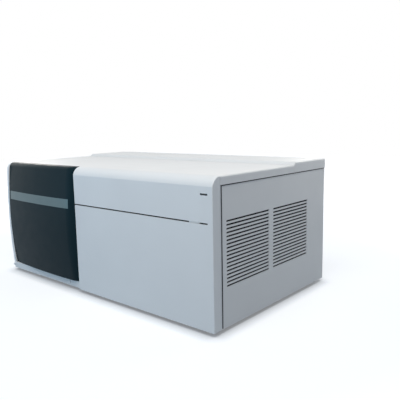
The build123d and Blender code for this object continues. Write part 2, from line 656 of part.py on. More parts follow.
def make_right_side_panel():
    panel = block((SIDE_RIGHT, SIDE_RIGHT + PANEL_WALL), (COVER_BACK + REVEAL, REAR), (BASE, SHUT - REVEAL))
    slot = extrude(Plane.YZ * SlotOverall(LOUVRE_LENGTH, LOUVRE_SLOT), PANEL_WALL + 2)
    slots = []
    for bank in range(LOUVRE_BANKS):
        middle = FRONT + LOUVRE_START + LOUVRE_LENGTH / 2 + bank * (LOUVRE_LENGTH + BANK_GAP)
        for row in range(LOUVRE_COUNT):
            slots.append(Pos(SIDE_RIGHT - 1, middle, LOUVRE_LOW + row * LOUVRE_PITCH) * slot)
    return panel - slots


def make_left_side_panel():
    half = PLATE_HALF + WINDOW_CLEARANCE
    panel = block((SIDE_LEFT - PANEL_WALL, SIDE_LEFT), (COVER_BACK + REVEAL, REAR), (BASE, SHUT - REVEAL))
    window = square_bar((SIDE_LEFT - PANEL_WALL - 1, SIDE_LEFT + 1), half)
    window = fillet(window.edges().filter_by(Axis.X), PLATE_CORNER)
    return panel - window


# ---- Frame, tray, feet ----
def make_base_tray():
    x = (SIDE_LEFT, SIDE_RIGHT)
    y = (TRAY_FRONT, TRAY_REAR)
    outer = block(x, y, (BASE, BASE + TRAY_FLANGE))
    inner = block((x[0] + TRAY_WALL, x[1] - TRAY_WALL), (y[0] + TRAY_WALL, y[1] - TRAY_WALL),
                  (FLOOR, BASE + TRAY_FLANGE + 1))
    return outer - inner


def frame_tubes():
    """Start, end and thickness of every frame tube, as boxes in x, y and z."""
    x = (FRAME_LEFT, FRAME_RIGHT)
    y = (FRAME_FRONT, FRAME_REAR)
    z = (FLOOR, FRAME_TOP)
    tubes = []
    for post_x in (x[0], x[1] - TUBE):
        for post_y in (y[0], y[1] - TUBE):
            tubes.append(((post_x, post_x + TUBE), (post_y, post_y + TUBE), z))
        for rail_z in (z[0], z[1] - TUBE):
            tubes.append(((post_x, post_x + TUBE), y, (rail_z, rail_z + TUBE)))
    for rail_y in (y[0], y[1] - TUBE):
        for rail_z in (z[0], z[1] - TUBE):
            tubes.append((x, (rail_y, rail_y + TUBE), (rail_z, rail_z + TUBE)))
    tubes.append((x, (y[0], y[0] + TUBE), (MID_RAIL - TUBE / 2, MID_RAIL + TUBE / 2)))
    return tubes


def make_frame():
    outer = [block(*tube) for tube in frame_tubes()]
    inner = []
    for tube in frame_tubes():
        shrunk = [(low + TUBE_WALL, high - TUBE_WALL) for low, high in tube]
        inner.append(block(*shrunk))
    return (outer[0] + outer[1:]) - inner


def make_feet():
    """Six rubber feet under the tray."""
    slim = FOOT_RADIUS - FOOT_TAPER
    outline = [(0, 0), (slim, 0), (FOOT_RADIUS, FOOT_TAPER), (slim, BASE), (0, BASE)]
    return group([turned(outline, (x, y, 0)) for x in (LEFT + FOOT_INSET, MIDDLE, RIGHT - FOOT_INSET)
                  for y in (TRAY_FRONT + FOOT_INSET, TRAY_REAR - FOOT_INSET)])


# ---- Ion source ----
def make_source_block():
    """Heated block that carries the capillary and closes the spray chamber."""
    body = square_bar((PLATE_FACE, MAN_LEFT), PLATE_HALF)
    body = fillet(body.edges().filter_by(Axis.X), PLATE_CORNER)
    body = body - on_axis(CAPILLARY_RADIUS, (PLATE_FACE - 1, MAN_LEFT + 1))
    for sign in (-1, 1):
        y, z = ION_Y - SCREW_SPREAD, ION_Z + sign * SCREW_SPREAD
        body = body - rod(SCREW_TIP + 1, (PLATE_FACE - 1, y, z), (PLATE_FACE + 3 * SCREW_TIP, y, z))
    return body


def make_spray_shield():
    """Thin cone and disc that shield the capillary's mouth."""
    foot = CAPILLARY_RADIUS * 5
    sheet = SHIELD_SHEET
    outline = [(foot, 0), (SHIELD_RADIUS, 0), (SHIELD_RADIUS, sheet), (foot + 2 * sheet, sheet),
               (SHIELD_NECK, SHIELD_TALL), (SHIELD_MOUTH, SHIELD_TALL), (SHIELD_MOUTH, SHIELD_TALL - sheet),
               (SHIELD_NECK - sheet / 2, SHIELD_TALL - sheet)]
    return turned(outline, (PLATE_FACE, ION_Y, ION_Z), (-1, 0, 0))


def make_capillary():
    end = STAGE_1 + STAGE_ONE - SKIMMER_TALL - SKIMMER_GAP
    return on_axis(CAPILLARY_RADIUS, (PLATE_FACE - CAPILLARY_PROUD, end))


def make_spray_chamber():
    """Cast chamber behind its flange: four walls, end wall with a sight hole, tower and drain hole."""
    body = square_bar((CHAMBER_CLOSED, DOOR_FACE - FLANGE_THICK), CHAMBER_HALF)
    body = fillet(body.edges().filter_by(Axis.X), PLATE_CORNER)
    body = body + rod(TOWER_RADIUS, (NEEDLE_X, ION_Y, ION_Z), (NEEDLE_X, ION_Y, TOWER_TOP))
    body = body - square_bar((CHAMBER_CLOSED + CHAMBER_END, DOOR_FACE), INSIDE)
    body = body - on_axis(SIGHT_RADIUS, (CHAMBER_CLOSED - 1, CHAMBER_CLOSED + CHAMBER_END + 1))
    body = body - rod(NEBULIZER_RADIUS, (NEEDLE_X, ION_Y, ION_Z), (NEEDLE_X, ION_Y, TOWER_TOP + 1))
    return body - rod(DRAIN_RADIUS, (NEEDLE_X, ION_Y, ION_Z), (NEEDLE_X, ION_Y, ION_Z - CHAMBER_HALF - 1))


def make_chamber_flange():
    """Square flange that the chamber is cast onto, with its mouth, hinge knuckles and screw holes."""
    x = (DOOR_FACE - FLANGE_THICK, DOOR_FACE)
    body = square_bar(x, FLANGE_HALF)
    body = fillet(body.edges().filter_by(Axis.X), PLATE_CORNER)
    body = body - square_bar((x[0] - 1, x[1] + 1), INSIDE) + hinge_knuckles()
    ends = [(HINGE_X, HINGE_Y, ION_Z + sign * HINGE_SPAN) for sign in (-1, 1)]
    body = body - rod(PIN_RADIUS + RUNNING, *ends)
    for sign in (-1, 1):
        y, z = ION_Y - SCREW_SPREAD, ION_Z + sign * SCREW_SPREAD
        body = body - rod(SCREW_RADIUS + RUNNING, (x[0] - 1, y, z), (x[1] + 1, y, z))
    return body


def hinge_knuckles():
    knuckles = []
    root = ION_Y + FLANGE_HALF - KNUCKLE_ROOT
    for sign in (-1, 1):
        outer = ION_Z + sign * (HINGE_SPAN - SIDE_PLAY)
        inner = outer - sign * KNUCKLE_LENGTH
        span = (min(inner, outer), max(inner, outer))
        knuckles.append(rod(KNUCKLE_RADIUS, (HINGE_X, HINGE_Y, span[0]), (HINGE_X, HINGE_Y, span[1])))
        knuckles.append(block((DOOR_FACE - FLANGE_THICK, DOOR_FACE), (root, HINGE_Y), span))
    return knuckles


def make_hinge_bracket():
    """Leaf on the source block's rear side with two lugs for the pin."""
    side = ION_Y + PLATE_HALF
    front = PLATE_FACE + LUG_SETBACK
    top = HINGE_SPAN + LUG_LENGTH
    bracket = block((front, front + LEAF_WIDTH), (side, side + LEAF_THICK), (ION_Z - top, ION_Z + top))
    for sign in (-1, 1):
        low, high = sorted((ION_Z + sign * HINGE_SPAN, ION_Z + sign * top))
        bracket = bracket + block((front, front + LUG_THICK), (side, HINGE_Y), (low, high))
        bracket = bracket + rod(KNUCKLE_RADIUS, (HINGE_X, HINGE_Y, low), (HINGE_X, HINGE_Y, high))
        bracket = bracket - rod(PIN_RADIUS, (HINGE_X, HINGE_Y, low - 1), (HINGE_X, HINGE_Y, high + 1))
    return bracket


def make_hinge_pin():
    reach = HINGE_SPAN + LUG_LENGTH
    top = (HINGE_X, HINGE_Y, ION_Z + reach)
    head = rod(PIN_RADIUS + 2 * PIN_HEAD / 3, top, (HINGE_X, HINGE_Y, ION_Z + reach + PIN_HEAD))
    return rod(PIN_RADIUS, (HINGE_X, HINGE_Y, ION_Z - reach), top) + head


def make_thumbscrew(sign):
    """Captive screw with a fluted knob in one front corner of the flange."""
    y, z = ION_Y - SCREW_SPREAD, ION_Z + sign * SCREW_SPREAD
    back = DOOR_FACE - FLANGE_THICK - SIDE_PLAY
    knob = rod(KNOB_RADIUS, (back - KNOB_LENGTH, y, z), (back, y, z))
    knob = chamfer(knob.faces().sort_by(Axis.X)[0].edges(), KNOB_CHAMFER)
    flutes = []
    for k in range(KNOB_FLUTES):
        turn = 2 * math.pi * k / KNOB_FLUTES
        flute_y = y + (KNOB_RADIUS + KNOB_CHAMFER) * math.cos(turn)
        flute_z = z + (KNOB_RADIUS + KNOB_CHAMFER) * math.sin(turn)
        ends = [(x, flute_y, flute_z) for x in (back - KNOB_LENGTH - 1, back + 1)]
        flutes.append(rod(FLUTE_RADIUS, *ends))
    shank = rod(SCREW_RADIUS, (back, y, z), (DOOR_FACE, y, z))
    tip = rod(SCREW_TIP, (DOOR_FACE, y, z), (PLATE_FACE + SCREW_TIP, y, z))
    return knob - flutes + shank + tip


def make_chamber_window():
    return on_axis(GLASS_RADIUS, (CHAMBER_CLOSED - GLASS_THICK, CHAMBER_CLOSED))


def make_window_ring():
    """Ring that clamps the window, with a lip over the glass."""
    edge = WINDOW_RING - GLASS_THICK
    outline = [(GLASS_RADIUS, 0), (RING_RADIUS, 0), (RING_RADIUS, WINDOW_RING - edge),
               (RING_RADIUS - edge, WINDOW_RING), (SIGHT_RADIUS, WINDOW_RING), (SIGHT_RADIUS, GLASS_THICK),
               (GLASS_RADIUS, GLASS_THICK)]
    return turned(outline, (CHAMBER_CLOSED, ION_Y, ION_Z), (-1, 0, 0))


def make_nebulizer():
    """Steel nebulizer: needle below, wide barrel in the tower, nut and tube stub on top."""
    foot = ION_Z + INSIDE
    tip = foot - NEEDLE_REACH
    shoulder = TOWER_TOP + NEBULIZER_SHOULDER
    nut_low = shoulder + INLET_RADIUS
    nut_high = nut_low + NUT_TALL
    top = TOWER_TOP + NEBULIZER_TALL
    outline = [(0, tip), (NEEDLE_RADIUS / 4, tip), (NEEDLE_RADIUS, tip + NEEDLE_TAPER), (NEEDLE_RADIUS, foot),
               (NEBULIZER_RADIUS, foot), (NEBULIZER_RADIUS, shoulder), (NUT_RADIUS, nut_low),
               (NUT_RADIUS, nut_high), (INLET_RADIUS, nut_high), (INLET_RADIUS, top), (0, top)]
    return turned(outline, (NEEDLE_X, ION_Y, 0))


def make_nebulizer_lock():
    """Winged collar that locks the nebulizer into the tower."""
    seat = Pos(NEEDLE_X, ION_Y, TOWER_TOP + SIDE_PLAY)
    collar = rod(LOCK_RADIUS, (0, 0, 0), (0, 0, LOCK_TALL))
    wings = block((-WING_SPAN, WING_SPAN), (-WING_HALF, WING_HALF), (0, LOCK_TALL))
    wings = fillet(wings.edges().filter_by(Axis.Z), 0.8 * WING_HALF)
    bore = rod(NEBULIZER_RADIUS + RUNNING, (0, 0, -1), (0, 0, LOCK_TALL + 1))
    return seat * (collar + wings - bore)


def make_drain_spout():
    """Hose spout under the chamber."""
    low = ION_Z - CHAMBER_HALF - DRAIN_DROP
    top = ION_Z - INSIDE
    outline = [(DRAIN_BORE, low), (DRAIN_RADIUS - DRAIN_LIP, low), (DRAIN_RADIUS, low + DRAIN_TAPER),
               (DRAIN_RADIUS, top), (DRAIN_BORE, top)]
    return turned(outline, (NEEDLE_X, ION_Y, 0))


# ---- Vacuum manifold ----
def make_manifold():
    """Cast box with three stages, pump ports below and bulkheads on the ion axis."""
    y = (ION_Y - MANIFOLD_HALF, ION_Y + MANIFOLD_HALF)
    inner_y = (y[0] + MANIFOLD_WALL, y[1] - MANIFOLD_WALL)
    body = block((MAN_LEFT, MAN_RIGHT), y, (MAN_LOW, MAN_RIM))
    stages = ((STAGE_1, STAGE_1 + STAGE_ONE), (STAGE_2, STAGE_2 + STAGE_TWO), (STAGE_3, STAGE_END))
    for stage in stages:
        body = body - block(stage, inner_y, (MAN_FLOOR, MAN_RIM + 1))
    for place in PUMP_PLACES:
        body = body - rod(PORT_RADIUS, (place, ION_Y, MAN_LOW - 1), (place, ION_Y, MAN_FLOOR + 1))
    body = body - on_axis(BULKHEAD_BORE, (STAGE_1, STAGE_3 + 1))
    return body - on_axis(CAPILLARY_RADIUS, (MAN_LEFT - 1, STAGE_1 + 1))


def make_manifold_seal():
    y = (ION_Y - MANIFOLD_HALF + MANIFOLD_WALL / 2, ION_Y + MANIFOLD_HALF - MANIFOLD_WALL / 2)
    x = (MAN_LEFT + MANIFOLD_WALL / 2, MAN_RIGHT - MANIFOLD_WALL / 2)
    half = SEAL_WIDTH / 2
    z = (MAN_RIM, MAN_RIM + SEAL_TALL)
    outer = block((x[0] - half, x[1] + half), (y[0] - half, y[1] + half), z)
    inner = block((x[0] + half, x[1] - half), (y[0] + half, y[1] - half), (z[0] - 1, z[1] + 1))
    return outer - inner


def make_manifold_lid():
    """Lid plate that stands on the rim, grooved for the seal."""
    y = (ION_Y - MANIFOLD_HALF, ION_Y + MANIFOLD_HALF)
    return block((MAN_LEFT, MAN_RIGHT), y, (MAN_RIM, MAN_RIM + LID_THICK)) - make_manifold_seal()


def make_manifold_brackets():
    """Two folded trestles between the tray and the manifold."""
    y = (ION_Y - MANIFOLD_HALF, ION_Y + MANIFOLD_HALF)
    sheet = BRACKET_SHEET
    brackets = []
    for x in (MAN_LEFT + BRACKET_INSET, MAN_RIGHT - BRACKET_INSET - BRACKET_WIDTH):
        outer = block((x, x + BRACKET_WIDTH), y, (FLOOR, MAN_LOW))
        inner = block((x - 1, x + BRACKET_WIDTH + 1), (y[0] + sheet, y[1] - sheet),
                      (FLOOR + sheet, MAN_LOW - sheet))
        brackets.append(outer - inner)
    return group(brackets)


def make_skimmer():
    """Cone on the first bulkhead."""
    rim = BULKHEAD_BORE + LENS_RIM
    sheet = LENS_THICK
    foot = BULKHEAD_BORE - LENS_HOLE
    outline = [(foot - 2 * SKIMMER_WALL, 0), (rim, 0), (rim, sheet), (foot, sheet), (LENS_HOLE, SKIMMER_TALL),
               (LENS_HOLE - SKIMMER_WALL, SKIMMER_TALL), (foot - sheet, sheet)]
    return turned(outline, (STAGE_1 + STAGE_ONE, ION_Y, ION_Z), (-1, 0, 0))


def make_entrance_lens():
    """Disc with an aperture on the second bulkhead."""
    disc = on_axis(BULKHEAD_BORE + LENS_RIM, (STAGE_3, STAGE_3 + LENS_THICK))
    return disc - on_axis(LENS_HOLE, (STAGE_3 - 1, STAGE_3 + LENS_THICK + 1))


def rod_ring(count, radius, gap, x, length, turn=0.0):
    """Parallel rods spaced evenly round the ion axis."""
    reach = radius + gap
    rods = []
    for k in range(count):
        angle = turn + 2 * math.pi * k / count
        y = ION_Y + reach * math.cos(angle)
        z = ION_Z + reach * math.sin(angle)
        rods.append(rod(radius, (x, y, z), (x + length, y, z)))
    return rods


def collar(x, bore):
    """Ceramic collar, bored for the beam."""
    return on_axis(COLLAR_RADIUS, (x, x + COLLAR_LENGTH)) - on_axis(bore, (x - 1, x + COLLAR_LENGTH + 1))


def make_octopole_rods():
    return group(rod_ring(8, OCT_ROD, OCT_GAP, GUIDE_X, GUIDE_LENGTH))


def make_octopole_collars():
    rods = rod_ring(8, OCT_ROD, OCT_GAP, GUIDE_X, GUIDE_LENGTH)
    places = (GUIDE_X + COLLAR_INSET, GUIDE_X + GUIDE_LENGTH - COLLAR_INSET - COLLAR_LENGTH)
    return group([collar(x, OCT_GAP + OCT_ROD) - rods for x in places])


def quadrupole_rods(x):
    return rod_ring(4, QUAD_ROD, QUAD_GAP, x, QUAD_LENGTH, math.pi / 4)


def make_quadrupole_rods():
    """Four rods for each of the two mass filters."""
    return group(quadrupole_rods(QUAD_ONE_X) + quadrupole_rods(QUAD_TWO_X))


def make_quadrupole_collars():
    collars = []
    for x in (QUAD_ONE_X, QUAD_TWO_X):
        for place in (x + COLLAR_INSET, x + QUAD_LENGTH - COLLAR_INSET - COLLAR_LENGTH):
            collars.append(collar(place, QUAD_GAP + QUAD_ROD) - quadrupole_rods(x))
    return group(collars)


def make_collision_cell():
    """Closed gas cell with a beam hole at each end."""
    x = (CELL_X, CELL_X + CELL_LENGTH)
    inner = square_bar((x[0] + CELL_WALL, x[1] - CELL_WALL), CELL_HALF - CELL_WALL)
    return square_bar(x, CELL_HALF) - inner - on_axis(CELL_HOLE, (x[0] - 1, x[1] + 1))


def make_hexapole_rods():
    """Six rods that stand between the cell's end walls."""
    return group(rod_ring(6, HEX_ROD, HEX_GAP, CELL_X + CELL_WALL, CELL_LENGTH - 2 * CELL_WALL))


def make_optics_benches():
    """Rails on the manifold's floor that the collars and the cell sit on."""
    y = (ION_Y - BENCH_WIDTH / 2, ION_Y + BENCH_WIDTH / 2)
    z = (MAN_FLOOR, ION_Z - COLLAR_RADIUS)
    stages = ((STAGE_2, STAGE_2 + STAGE_TWO), (STAGE_3, STAGE_END))
    return group([block((low + BENCH_INSET, high - BENCH_INSET), y, z) for low, high in stages])


def make_dynode():
    """High-energy dynode: a curved plate beside the beam, hung from the lid."""
    centre_z = ION_Z + DYNODE_RISE
    y = (ION_Y, ION_Y + DYNODE_WIDTH)
    inner = DYNODE_RADIUS - DYNODE_SHEET
    ring = rod(DYNODE_RADIUS, (DETECTOR_X, y[0], centre_z), (DETECTOR_X, y[1], centre_z))
    ring = ring - rod(inner, (DETECTOR_X, y[0] - 1, centre_z), (DETECTOR_X, y[1] + 1, centre_z))
    keep = block((DETECTOR_X - inner, DETECTOR_X + inner), y,
                 (centre_z + DYNODE_SHEET, centre_z + DYNODE_RADIUS))
    third = DYNODE_WIDTH / 3
    post = block((DETECTOR_X - DYNODE_SHEET, DETECTOR_X + DYNODE_SHEET), (y[0] + third, y[1] - third),
                 (centre_z + DYNODE_RADIUS - DYNODE_SHEET / 4, MAN_RIM))
    return (ring & keep) + post


def make_multiplier():
    """Electron multiplier: a horn on the bench that faces the dynode."""
    foot, neck, mouth = HORN_BODY, HORN_NECK, HORN_MOUTH
    throat = neck[1] + HORN_WALL / 2
    outline = [(0, 0), (foot[0], 0), foot, (neck[0], foot[1] + DYNODE_SHEET), neck, mouth,
               (mouth[0] - HORN_WALL, mouth[1]), (neck[0] - HORN_WALL, throat), (0, throat)]
    return turned(outline, (DETECTOR_X, ION_Y + DYNODE_SHEET, ION_Z - COLLAR_RADIUS))


# ---- Turbo pumps and foreline ----
def make_turbo_housing(x):
    """Pump casing under its port, open above, with a bearing hole below."""
    low = -PUMP_TALL
    floor = low + PUMP_FLOOR
    bearing = SHAFT_RADIUS + RUNNING
    foot = PUMP_RADIUS - PUMP_FOOT_STEP
    hole = floor - SHAFT_DEPTH - SHAFT_END
    outline = [(PUMP_BORE, 0), (PUMP_FLANGE, 0), (PUMP_FLANGE, -PUMP_FLANGE_THICK),
               (PUMP_RADIUS, -PUMP_FLANGE_THICK), (PUMP_RADIUS, floor), (foot, floor - PUMP_FOOT_STEP),
               (foot, low), (0, low), (0, hole), (bearing, hole), (bearing, floor), (PUMP_BORE, floor)]
    casing = turned(outline, (x, ION_Y, MAN_LOW))
    stub_y = ION_Y + foot - PUMP_FOOT_STEP
    return casing + rod(FORELINE_RADIUS + OUTLET_WALL, (x, stub_y, OUTLET_Z), (x, OUTLET_Y, OUTLET_Z))


def make_turbo_rotor(x):
    """Hub with plain stages below and one bladed stage on top."""
    floor = MAN_LOW - PUMP_TALL + PUMP_FLOOR
    low = floor + SHAFT_END
    first = low + SHAFT_END
    foot = floor - SHAFT_DEPTH
    outline = [(0, foot), (SHAFT_RADIUS, foot), (SHAFT_RADIUS, low), (ROTOR_HUB, low)]
    for stage in range(ROTOR_STAGES):
        z = first + stage * ROTOR_PITCH
        outline += [(ROTOR_HUB, z), (ROTOR_RADIUS, z), (ROTOR_RADIUS, z + DISC_THICK),
                    (ROTOR_HUB, z + DISC_THICK)]
    crown = first + ROTOR_STAGES * ROTOR_PITCH + DISC_THICK
    outline += [(ROTOR_HUB, crown), (ROTOR_HUB - SHAFT_RADIUS, crown + SHAFT_END), (0, crown + SHAFT_END)]
    hub = turned(outline, (x, ION_Y, 0))
    blade_z = crown - BLADE_CHORD
    reach = ROTOR_RADIUS - ROTOR_HUB + BLADE_CHORD
    blade = Rot(BLADE_TURN, 0, 0) * Box(reach, BLADE_THICK, BLADE_CHORD)
    blade = Pos(ROTOR_HUB + reach / 2 - BLADE_THICK, 0, 0) * blade
    rim = rod(ROTOR_RADIUS, (x, ION_Y, blade_z - BLADE_CHORD), (x, ION_Y, blade_z + BLADE_CHORD))
    blades = [Pos(x, ION_Y, blade_z) * Rot(0, 0, 360 * k / BLADES) * blade & rim for k in range(BLADES)]
    return hub + blades


def make_foreline():
    """Pipe that joins both pump outlets and runs to the rear port."""
    run_y = OUTLET_Y + FORELINE_RUN
    left, right = PUMP_PLACES
    elbow = (left, run_y, OUTLET_Z)
    runs = [(elbow, (right, run_y, OUTLET_Z)), ((left, OUTLET_Y, OUTLET_Z), elbow),
            ((right, OUTLET_Y, OUTLET_Z), (right, TRAY_REAR, OUTLET_Z))]
    outer = [rod(FORELINE_RADIUS, start, end) for start, end in runs] + [Pos(elbow) * Sphere(FORELINE_RADIUS)]
    bore = FORELINE_RADIUS - FORELINE_WALL
    inner = [rod(bore, start, end) for start, end in runs] + [Pos(elbow) * Sphere(bore)]
    return (outer[0] + outer[1:]) - inner


# ---- Rear side and electronics ----
def make_rear_panel():
    """Rear sheet with fan grilles and holes for the fittings."""
    panel = block((SIDE_LEFT, SIDE_RIGHT), (TRAY_REAR, REAR), (BASE, SHUT - REVEAL))
    y = (TRAY_REAR - 1, REAR + 1)
    cuts = [slot for place in FAN_PLACES for slot in fan_grille(MIDDLE + place, y)]
    cuts.append(inlet_block(INLET_X, y, INLET_HEIGHT, [half + CUT_CLEARANCE for half in INLET_BODY]))
    plug = BOARD_X + BOARD_THICK
    for z, tall in CONNECTORS:
        cuts.append(block((plug - CUT_CLEARANCE, plug + CONNECTOR_DEEP + CUT_CLEARANCE), y,
                          (z - CUT_CLEARANCE, z + tall + CUT_CLEARANCE)))
    holes = [(PUMP_PLACES[1], OUTLET_Z, FORELINE_RADIUS + PORT_NECK)]
    holes += [(RIGHT - place, GAS_HEIGHT, GAS_THREAD[0]) for place in GAS_PLACES]
    cuts += [rod(radius + CUT_CLEARANCE, (x, y[0], z), (x, y[1], z)) for x, z, radius in holes]
    return panel - cuts


def fan_grille(x, y):
    """Level slots inside a circle in front of a fan."""
    slots = []
    for k in range(GRILLE_SLOTS):
        rise = (k - (GRILLE_SLOTS - 1) / 2) * GRILLE_PITCH
        half = math.sqrt((FAN_BORE - FAN_CORNER) ** 2 - rise ** 2)
        z = FAN_HEIGHT + rise
        slots.append(block((x - half, x + half), y, (z - GRILLE_SLOT / 2, z + GRILLE_SLOT / 2)))
    return slots


def fan_seat(place):
    """Frame at the fan's inner face with its axis towards the rear panel."""
    return Plane(origin=(MIDDLE + place, TRAY_REAR - FAN_DEPTH, FAN_HEIGHT), x_dir=(1, 0, 0), z_dir=(0, 1, 0))


def fan_housing():
    """Square fan frame with a spider, a stator boss and a spindle; axis up, inner face at zero."""
    body = Box(FAN_SIZE, FAN_SIZE, FAN_DEPTH, align=(Align.CENTER, Align.CENTER, Align.MIN))
    body = fillet(body.edges().filter_by(Axis.Z), FAN_CORNER)
    body = body - rod(FAN_BORE, (0, 0, -1), (0, 0, FAN_DEPTH + 1))
    strut = block((-FAN_BORE - 1, FAN_BORE + 1), (-FAN_STRUT / 2, FAN_STRUT / 2), (0, FAN_SPIDER))
    boss = rod(FAN_HUB, (0, 0, 0), (0, 0, FAN_SPIDER))
    spindle = rod(FAN_SPINDLE, (0, 0, FAN_SPIDER), (0, 0, FAN_DEPTH - 2 * FAN_RIM))
    return body + [Rot(0, 0, turn) * strut for turn in (45, 135)] + boss + spindle


def make_fan_housings():
    return group([fan_seat(place) * fan_housing() for place in FAN_PLACES])


def make_fan_rotor(place):
    """Hub and pitched blades on the fan's spindle."""
    low = FAN_SPIDER + SIDE_PLAY
    high = FAN_DEPTH - FAN_RIM
    bore = FAN_SPINDLE + RUNNING
    cap = high - FAN_RIM / 2
    outline = [(bore, low), (FAN_HUB, low), (FAN_HUB, high - 1), (FAN_HUB - 1, high), (0, high), (0, cap),
               (bore, cap)]
    hub = turned(outline, (0, 0, 0))
    tip = FAN_BORE - FAN_CLEARANCE
    span = tip - FAN_HUB + FAN_RIM
    blade = Rot(FAN_TURN, 0, 0) * Box(span, FAN_CHORD, FAN_BLADE)
    blade = Pos(FAN_HUB - FAN_RIM / 2 + span / 2, 0, (low + high) / 2) * blade
    rim = rod(tip, (0, 0, low), (0, 0, high)) - rod(FAN_HUB - 1, (0, 0, low - 1), (0, 0, high + 1))
    blades = [Rot(0, 0, 360 * k / FAN_BLADES) * blade & rim for k in range(FAN_BLADES)]
    return fan_seat(place) * (hub + blades)


def inlet_block(x, y, z, half):
    """Block round a point of the power inlet, from half sizes in x and z."""
    return block((x - half[0], x + half[0]), y, (z - half[1], z + half[1]))


def make_power_inlet():
    """Moulded inlet module: plug socket with three prongs below, window for the rocker above."""
    face = REAR + INLET_LIP
    flange = inlet_block(INLET_X, (REAR, face), INLET_HEIGHT, INLET_FLANGE)
    flange = fillet(flange.edges().filter_by(Axis.Y), INLET_CORNER)
    body = inlet_block(INLET_X, (REAR - INLET_DEPTH, REAR), INLET_HEIGHT, INLET_BODY)
    socket_z = INLET_HEIGHT - SOCKET_DROP
    floor = face - SOCKET_DEPTH
    socket = inlet_block(INLET_X, (floor, face + 1), socket_z, SOCKET_HALF)
    pivot_y, pivot_z = REAR - ROCKER_SETBACK, INLET_HEIGHT + ROCKER_RISE
    window = inlet_block(INLET_X, (REAR - ROCKER_DEPTH, face + 1), pivot_z, ROCKER_WINDOW)
    reach = ROCKER_WINDOW[0] + ROCKER_SEAT + SIDE_PLAY
    bore = rod(ROCKER_PIN + RUNNING, (INLET_X - reach, pivot_y, pivot_z), (INLET_X + reach, pivot_y, pivot_z))
    prong_y = (floor, floor + PRONG_LENGTH)
    prongs = [inlet_block(INLET_X + x, prong_y, socket_z + z, PRONG_HALF) for x, z in PRONGS]
    return (flange + body) - [socket, window, bore] + prongs


def make_power_rocker():
    """Rocker with a hollowed face on its pivot pin, resting on one end."""
    half = ROCKER_WINDOW[0] - SIDE_PLAY
    tall = ROCKER_WINDOW[1] - 1
    back, heel, proud = -ROCKER_DEPTH / 2 + 0.5, tall / 3, ROCKER_DEPTH / 2 - 0.5
    outline = Polyline((back, -heel), (0, -tall), (proud, -tall), (0.7 * proud, 0), (proud, tall), (0, tall),
                       (back, heel), close=True)
    rocker = Pos(-half, 0, 0) * extrude(side_face(outline), 2 * half)
    reach = half + ROCKER_SEAT
    rocker = rocker + rod(ROCKER_PIN, (-reach, 0, 0), (reach, 0, 0))
    return Pos(INLET_X, REAR - ROCKER_SETBACK, INLET_HEIGHT + ROCKER_RISE) * Rot(ROCKER_REST, 0, 0) * rocker


def make_foreline_port():
    """Hose stub on the rear panel at the end of the foreline."""
    bore = FORELINE_RADIUS
    neck = bore + PORT_NECK
    flange, thick = PORT_FLANGE
    outline = [(bore, -REAR_WALL), (neck, -REAR_WALL), (neck, 0), (flange, 0), (flange, thick),
               (PORT_STUB, thick), (PORT_STUB, REAR_REACH), (bore, REAR_REACH)]
    return turned(outline, (PUMP_PLACES[1], REAR, OUTLET_Z), (0, 1, 0))


def make_gas_inlets():
    """Two bulkhead fittings with a nut and a tube stub outside."""
    thread, inside = GAS_THREAD
    nut, thick = GAS_NUT
    outline = [(GAS_BORE, -inside), (thread, -inside), (thread, 0), (nut, 0), (nut, thick), (GAS_STUB, thick),
               (GAS_STUB, GAS_STUB_END), (GAS_BORE, GAS_STUB_END)]
    return group([turned(outline, (RIGHT - place, REAR, GAS_HEIGHT), (0, 1, 0)) for place in GAS_PLACES])


def make_electronics_shelf():
    """Folded shelf over the foreline, on two upright ends."""
    x = (FRAME_LEFT + TUBE + SHELF_END, FRAME_RIGHT - TUBE - SHELF_END)
    outer = block(x, (SHELF_FRONT, SHELF_REAR), (FLOOR, SHELF_HEIGHT))
    inner = block((x[0] + SHELF_WALL, x[1] - SHELF_WALL), (SHELF_FRONT - 1, SHELF_REAR + 1),
                  (FLOOR - 1, SHELF_HEIGHT - SHELF_WALL))
    return outer - inner


def make_rf_generators():
    """Two shielded generators for the mass filters, with cooling fins on top."""
    boxes = []
    top = SHELF_HEIGHT + RF_TALL
    for x in RF_PLACES:
        body = block((x, x + RF_WIDTH), (BOX_FRONT, BOX_FRONT + RF_DEPTH), (SHELF_HEIGHT, top))
        fins = []
        for k in range(FINS):
            y = BOX_FRONT + FIN_INSET + k * FIN_PITCH
            fins.append(block((x + FIN_INSET, x + RF_WIDTH - FIN_INSET), (y, y + FIN_THICK),
                              (top, top + FIN_TALL)))
        boxes.append(body + fins)
    return group(boxes)


def make_power_supply():
    """Boxed supply between the second generator and the circuit board."""
    x = (RF_PLACES[1] + RF_WIDTH + BOX_GAP, BOARD_X - SUPPLY_ROOM)
    body = block(x, (BOX_FRONT, BOX_FRONT + SUPPLY_DEPTH), (SHELF_HEIGHT, SHELF_HEIGHT + SUPPLY_TALL))
    return fillet(body.edges().filter_by(Axis.Y), SHELF_WALL)


def make_main_board():
    """Upright circuit board with chips, and connectors that reach through the rear panel."""
    rear = TRAY_REAR - BOARD_GAP
    face = BOARD_X + BOARD_THICK
    board = block((BOARD_X, face), (rear - BOARD_DEPTH, rear), (SHELF_HEIGHT, SHELF_HEIGHT + BOARD_TALL))
    pieces = []
    for y in CHIP_COLUMNS:
        for z in CHIP_ROWS:
            pieces.append(block((face, face + CHIP_THICK), (rear - y - CHIP_SIZE, rear - y),
                                (SHELF_HEIGHT + z, SHELF_HEIGHT + z + CHIP_SIZE)))
    for z, tall in CONNECTORS:
        pieces.append(block((face, face + CONNECTOR_DEEP), (rear - CONNECTOR_DEEP, REAR + CONNECTOR_PROUD),
                            (z, z + tall)))
    return board + pieces


